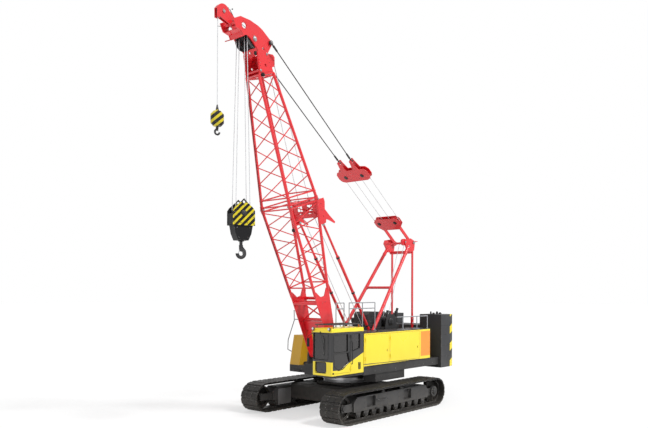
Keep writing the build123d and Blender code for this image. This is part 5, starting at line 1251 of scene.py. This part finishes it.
spike.lathe((-3.30, 0.478, 5.925), (-1, 0.2, 0.06),
            [(0.022, 0.0), (0.020, 0.10), (0.012, 0.16), (0.012, 0.20), (0, 0.20)], 12)
for side, _ in SIDES:
    foot, leg = (np.array([x, side * y, z]) for x, y, z in (LEG_FOOT, np.subtract(LEG_HEAD, LEG_FOOT)))
    for t in (0.06, 0.592, 0.93):
        spike.lathe(foot + leg * t, leg, collar(0.062, 0.070, 0.05, 0.042), 22)
spike.build()

drums = Piece("winch_trim", dark_steel, "upperstructure")
for name, r in (("main_drum", 0.17), ("aux_drum", 0.17), ("boom_drum", 0.13)):
    x, z = DRUMS[name]
    for side, _ in SIDES:
        drums.lathe((x, side * 0.608, z), side * Y, [(r, 0), (r, 0.02), (r * 0.8, 0.035), (r * 0.45, 0.04),
                                                     (r * 0.45, 0.07), (0, 0.07)], 28)
        drums.bolts(ring_of((x, side * 0.628, z), X, Z, r * 0.88, 10), side * Y, 0.011)
drums.build()

for name, d, edge_y in (("lower_spreader", LOWER_D, (0.45, 0.30, -0.30, -0.45)),
                        ("upper_spreader", UPPER_D, (0.52, 0.18, -0.18, -0.52))):
    piece = Piece(name + "_bolts", dark_steel, name)
    for face in (-1, 1):
        way = SQUARE_TO_LINE * face
        for y in (-0.365, 0.365):
            piece.lathe(on_line(d, y, face * 0.080), way,
                        [(0.075, 0), (0.075, 0.006), (0.048, 0.012), (0.048, 0.026), (0, 0.030)], 24)
            piece.bolts([on_line(d + 0.062 * cos(a), y + 0.062 * sin(a), face * 0.086)
                         for a in np.arange(4) * pi / 2 + 0.8], way, 0.007)
        piece.bolts([on_line(d - 0.10, y, face * 0.080) for y in edge_y], way, 0.010)
    piece.build()

sockets = Piece("pendant_sockets", dark_steel, "upper_spreader")
lay = Piece("pendant_rope", greased, "upper_spreader", "wire_rope")
for side, _ in SIDES:
    low, high = on_line(4.27, side * 0.27, 0), on_line(LINE_LENGTH, side * 0.350, 0)
    way = unit(high - low)
    lay.rope([low + way * 0.30, high - way * 0.30], 0.0172, 12, 0.03)
    for end, along in ((low, way), (high, -way)):
        sockets.lathe(end + along * 0.11, along, [(0.031, 0), (0.034, 0.01), (0.034, 0.05), (0.031, 0.06),
                                                  (0.031, 0.15), (0.026, 0.20), (0.018, 0.22)], 20)
    sockets.lathe(low + SQUARE_TO_LINE * 0.090, SQUARE_TO_LINE, cap(0.034, 0.010, 0.018, 0.014), 18)
sockets.build()
lay.build()

stop_foot, stop_top = TURN_ROLLER, on_boom(4.35, 0, 0.76)
stop_way, stop_length = unit(stop_top - stop_foot), np.linalg.norm(stop_top - stop_foot)
collars = Piece("backstop_collars", dark_steel, "backstop_tubes")
for side, _ in SIDES:
    for d in (0.24, 1.6, 2.98):
        at = stop_foot + stop_way * d + (0, side * 0.50, 0)
        collars.lathe(at, stop_way, collar(0.050, 0.062, 0.03, 0.026), 22)
    pin_end(collars, stop_foot + (0, side * 0.609, 0), side * Y, 0.030)
collars.build()
rod_ends = Piece("backstop_rod_ends", machined, "backstop_rods", "machined_steel")
for side, _ in SIDES:
    rod_ends.lathe(stop_top + (0, side * 0.472, 0), -side * Y, cap(0.040, 0.008, 0.026, 0.012), 18)
    at = stop_foot + stop_way * (stop_length - 0.16) + (0, side * 0.50, 0)
    rod_ends.lathe(at, stop_way, [(0.040, 0), (0.046, 0.004), (0.046, 0.05), (0.040, 0.054)], 6)
rod_ends.build()

# %% [markdown]
# ## Hooks
# Bolts and shaft nuts on the block, spring latches in the hook throats and a rope socket on the ball.

# %% Hooks
U_BLOCK, V_BLOCK = in_block(1, 0, 0) - in_block(0, 0, 0), in_block(0, 1, 0) - in_block(0, 0, 0)
block_fit = Piece("block_bolts", dark_steel, "main_block")
for face in (-1, 1):
    out = V_BLOCK * face
    block_fit.lathe(in_block(0, face * 0.206, BLOCK_Z), out, [(0.085, 0), (0.085, 0.010), (0.055, 0.016),
                                                              (0.055, 0.034), (0.045, 0.040), (0, 0.040)], 26)
    sheet = [(x, z) for x in (-0.29, 0.29) for z in (-0.28, -0.10, 0.02)]
    sheet += [(-0.10, -0.28), (0.10, -0.28), (0.0, 0.235)]
    weight_spots = [(-0.2, -0.42), (0.2, -0.42), (-0.14, -0.70), (0.14, -0.70)]
    for y, spots in ((0.206, sheet), (0.166, weight_spots)):
        block_fit.bolts([in_block(x, face * y, BLOCK_Z + z) for x, z in spots], out, 0.016)
block_fit.lathe((BLOCK_X, 0, BLOCK_Z - 0.785), -Z,
                [(0.085, 0), (0.085, 0.02), (0.065, 0.03), (0.055, 0.03)], 24)
block_fit.build()

for body, x, low, eye, bar, way in (("main_hook", BLOCK_X, 4.935, 0.062, 0.052, -U_BLOCK),
                                    ("aux_hook", nose_x, 8.37, 0.040, 0.027, U_BLOCK)):
    centre = low + eye + 2 * bar
    latch = Piece(body + "_latch", machined, body, "machined_steel")
    top = np.array([x, 0, centre + eye + bar * 0.7]) - way * (eye * 0.55)
    tip = np.array([x, 0, centre - eye * 0.2]) - way * (eye + bar * 0.55)
    latch.tube([top, (top + tip) / 2 - way * 0.006, tip], [bar * 0.20, bar * 0.16, bar * 0.12], 8)
    latch.lathe(top - V_BLOCK * bar * 0.5, V_BLOCK, [(bar * 0.32, 0), (bar * 0.32, bar)], 14)
    latch.build()

BALL_TOP = 9.105
ball = Piece("ball_socket", dark_steel, "aux_ball")
ball.lathe((nose_x, 0, BALL_TOP), Z,
           [(0.040, -0.05), (0.044, -0.04), (0.044, 0), (0.030, 0.05), (0.020, 0.12), (0.013, 0.13)], 20)
ball.build()

# %% [markdown]
# ## Light and floor
# A soft key sun from the machine's left, a faint fill from ahead and a pale sky. The floor and the
# sky show white to the camera and in reflections, and the floor keeps the machine's shadow.

# %% Light and floor
world = bpy.data.worlds.new("studio")
bpy.context.scene.world = world
world.use_nodes = True
tree = world.node_tree
rays = make(tree, "LightPath", "rays").outputs
seen = calc(tree, "MAXIMUM", rays["Is Camera Ray"], rays["Is Transmission Ray"])
seen = calc(tree, "MAXIMUM", seen, calc(tree, "MULTIPLY", rays["Is Glossy Ray"], 0.8))
fill(tree, tree.nodes["Background"], {
    "Color": (1, 1, 1, 1), "Strength": calc(tree, "ADD", calc(tree, "MULTIPLY", seen, 0.45), 0.55)})


def sun_lamp(name, strength, azimuth, height, size):
    """A sun that shines from an azimuth and a height in degrees, soft by its size."""
    data = bpy.data.lights.new(name, "SUN")
    data.energy = strength
    data.angle = radians(size)
    lamp = bpy.data.objects.new(name, data)
    lamp.rotation_euler = (Matrix.Rotation(radians(azimuth + 90), 4, "Z")
                           @ Matrix.Rotation(radians(90 - height), 4, "X")).to_euler()
    bpy.context.scene.collection.objects.link(lamp)


sun_lamp("key sun", 2.45, 105, 48, 12)
sun_lamp("fill sun", 0.5, 20, 30, 40)

FLOOR_HALF = 200
floor_paint = bpy.data.materials.new("pale floor")
floor_paint.use_nodes = True
tree = floor_paint.node_tree
shader = tree.nodes["Principled BSDF"]
fill(tree, shader, {"Base Color": (0.90, 0.90, 0.90, 1), "Roughness": 0.9})
glow = make(tree, "Emission", "white to the camera", {"Color": (1, 1, 1, 1)})
seen = calc(tree, "MULTIPLY", make(tree, "LightPath", "rays").outputs["Is Camera Ray"], 0.55)
wash = make(tree, "MixShader", "wash", {"Fac": seen, 1: shader.outputs[0], 2: glow.outputs[0]})
fill(tree, tree.nodes["Material Output"], {"Surface": wash.outputs[0]})
floor = Piece("floor", floor_paint, None)
corners = FLOOR_HALF * np.array([(-1, -1), (1, -1), (1, 1), (-1, 1)])
floor.plate(corners, (0, 0, -0.02), X, Y, 0.02, 0.0005)
floor.build(ride=False)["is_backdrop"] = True

# %% Sizes
low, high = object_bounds()
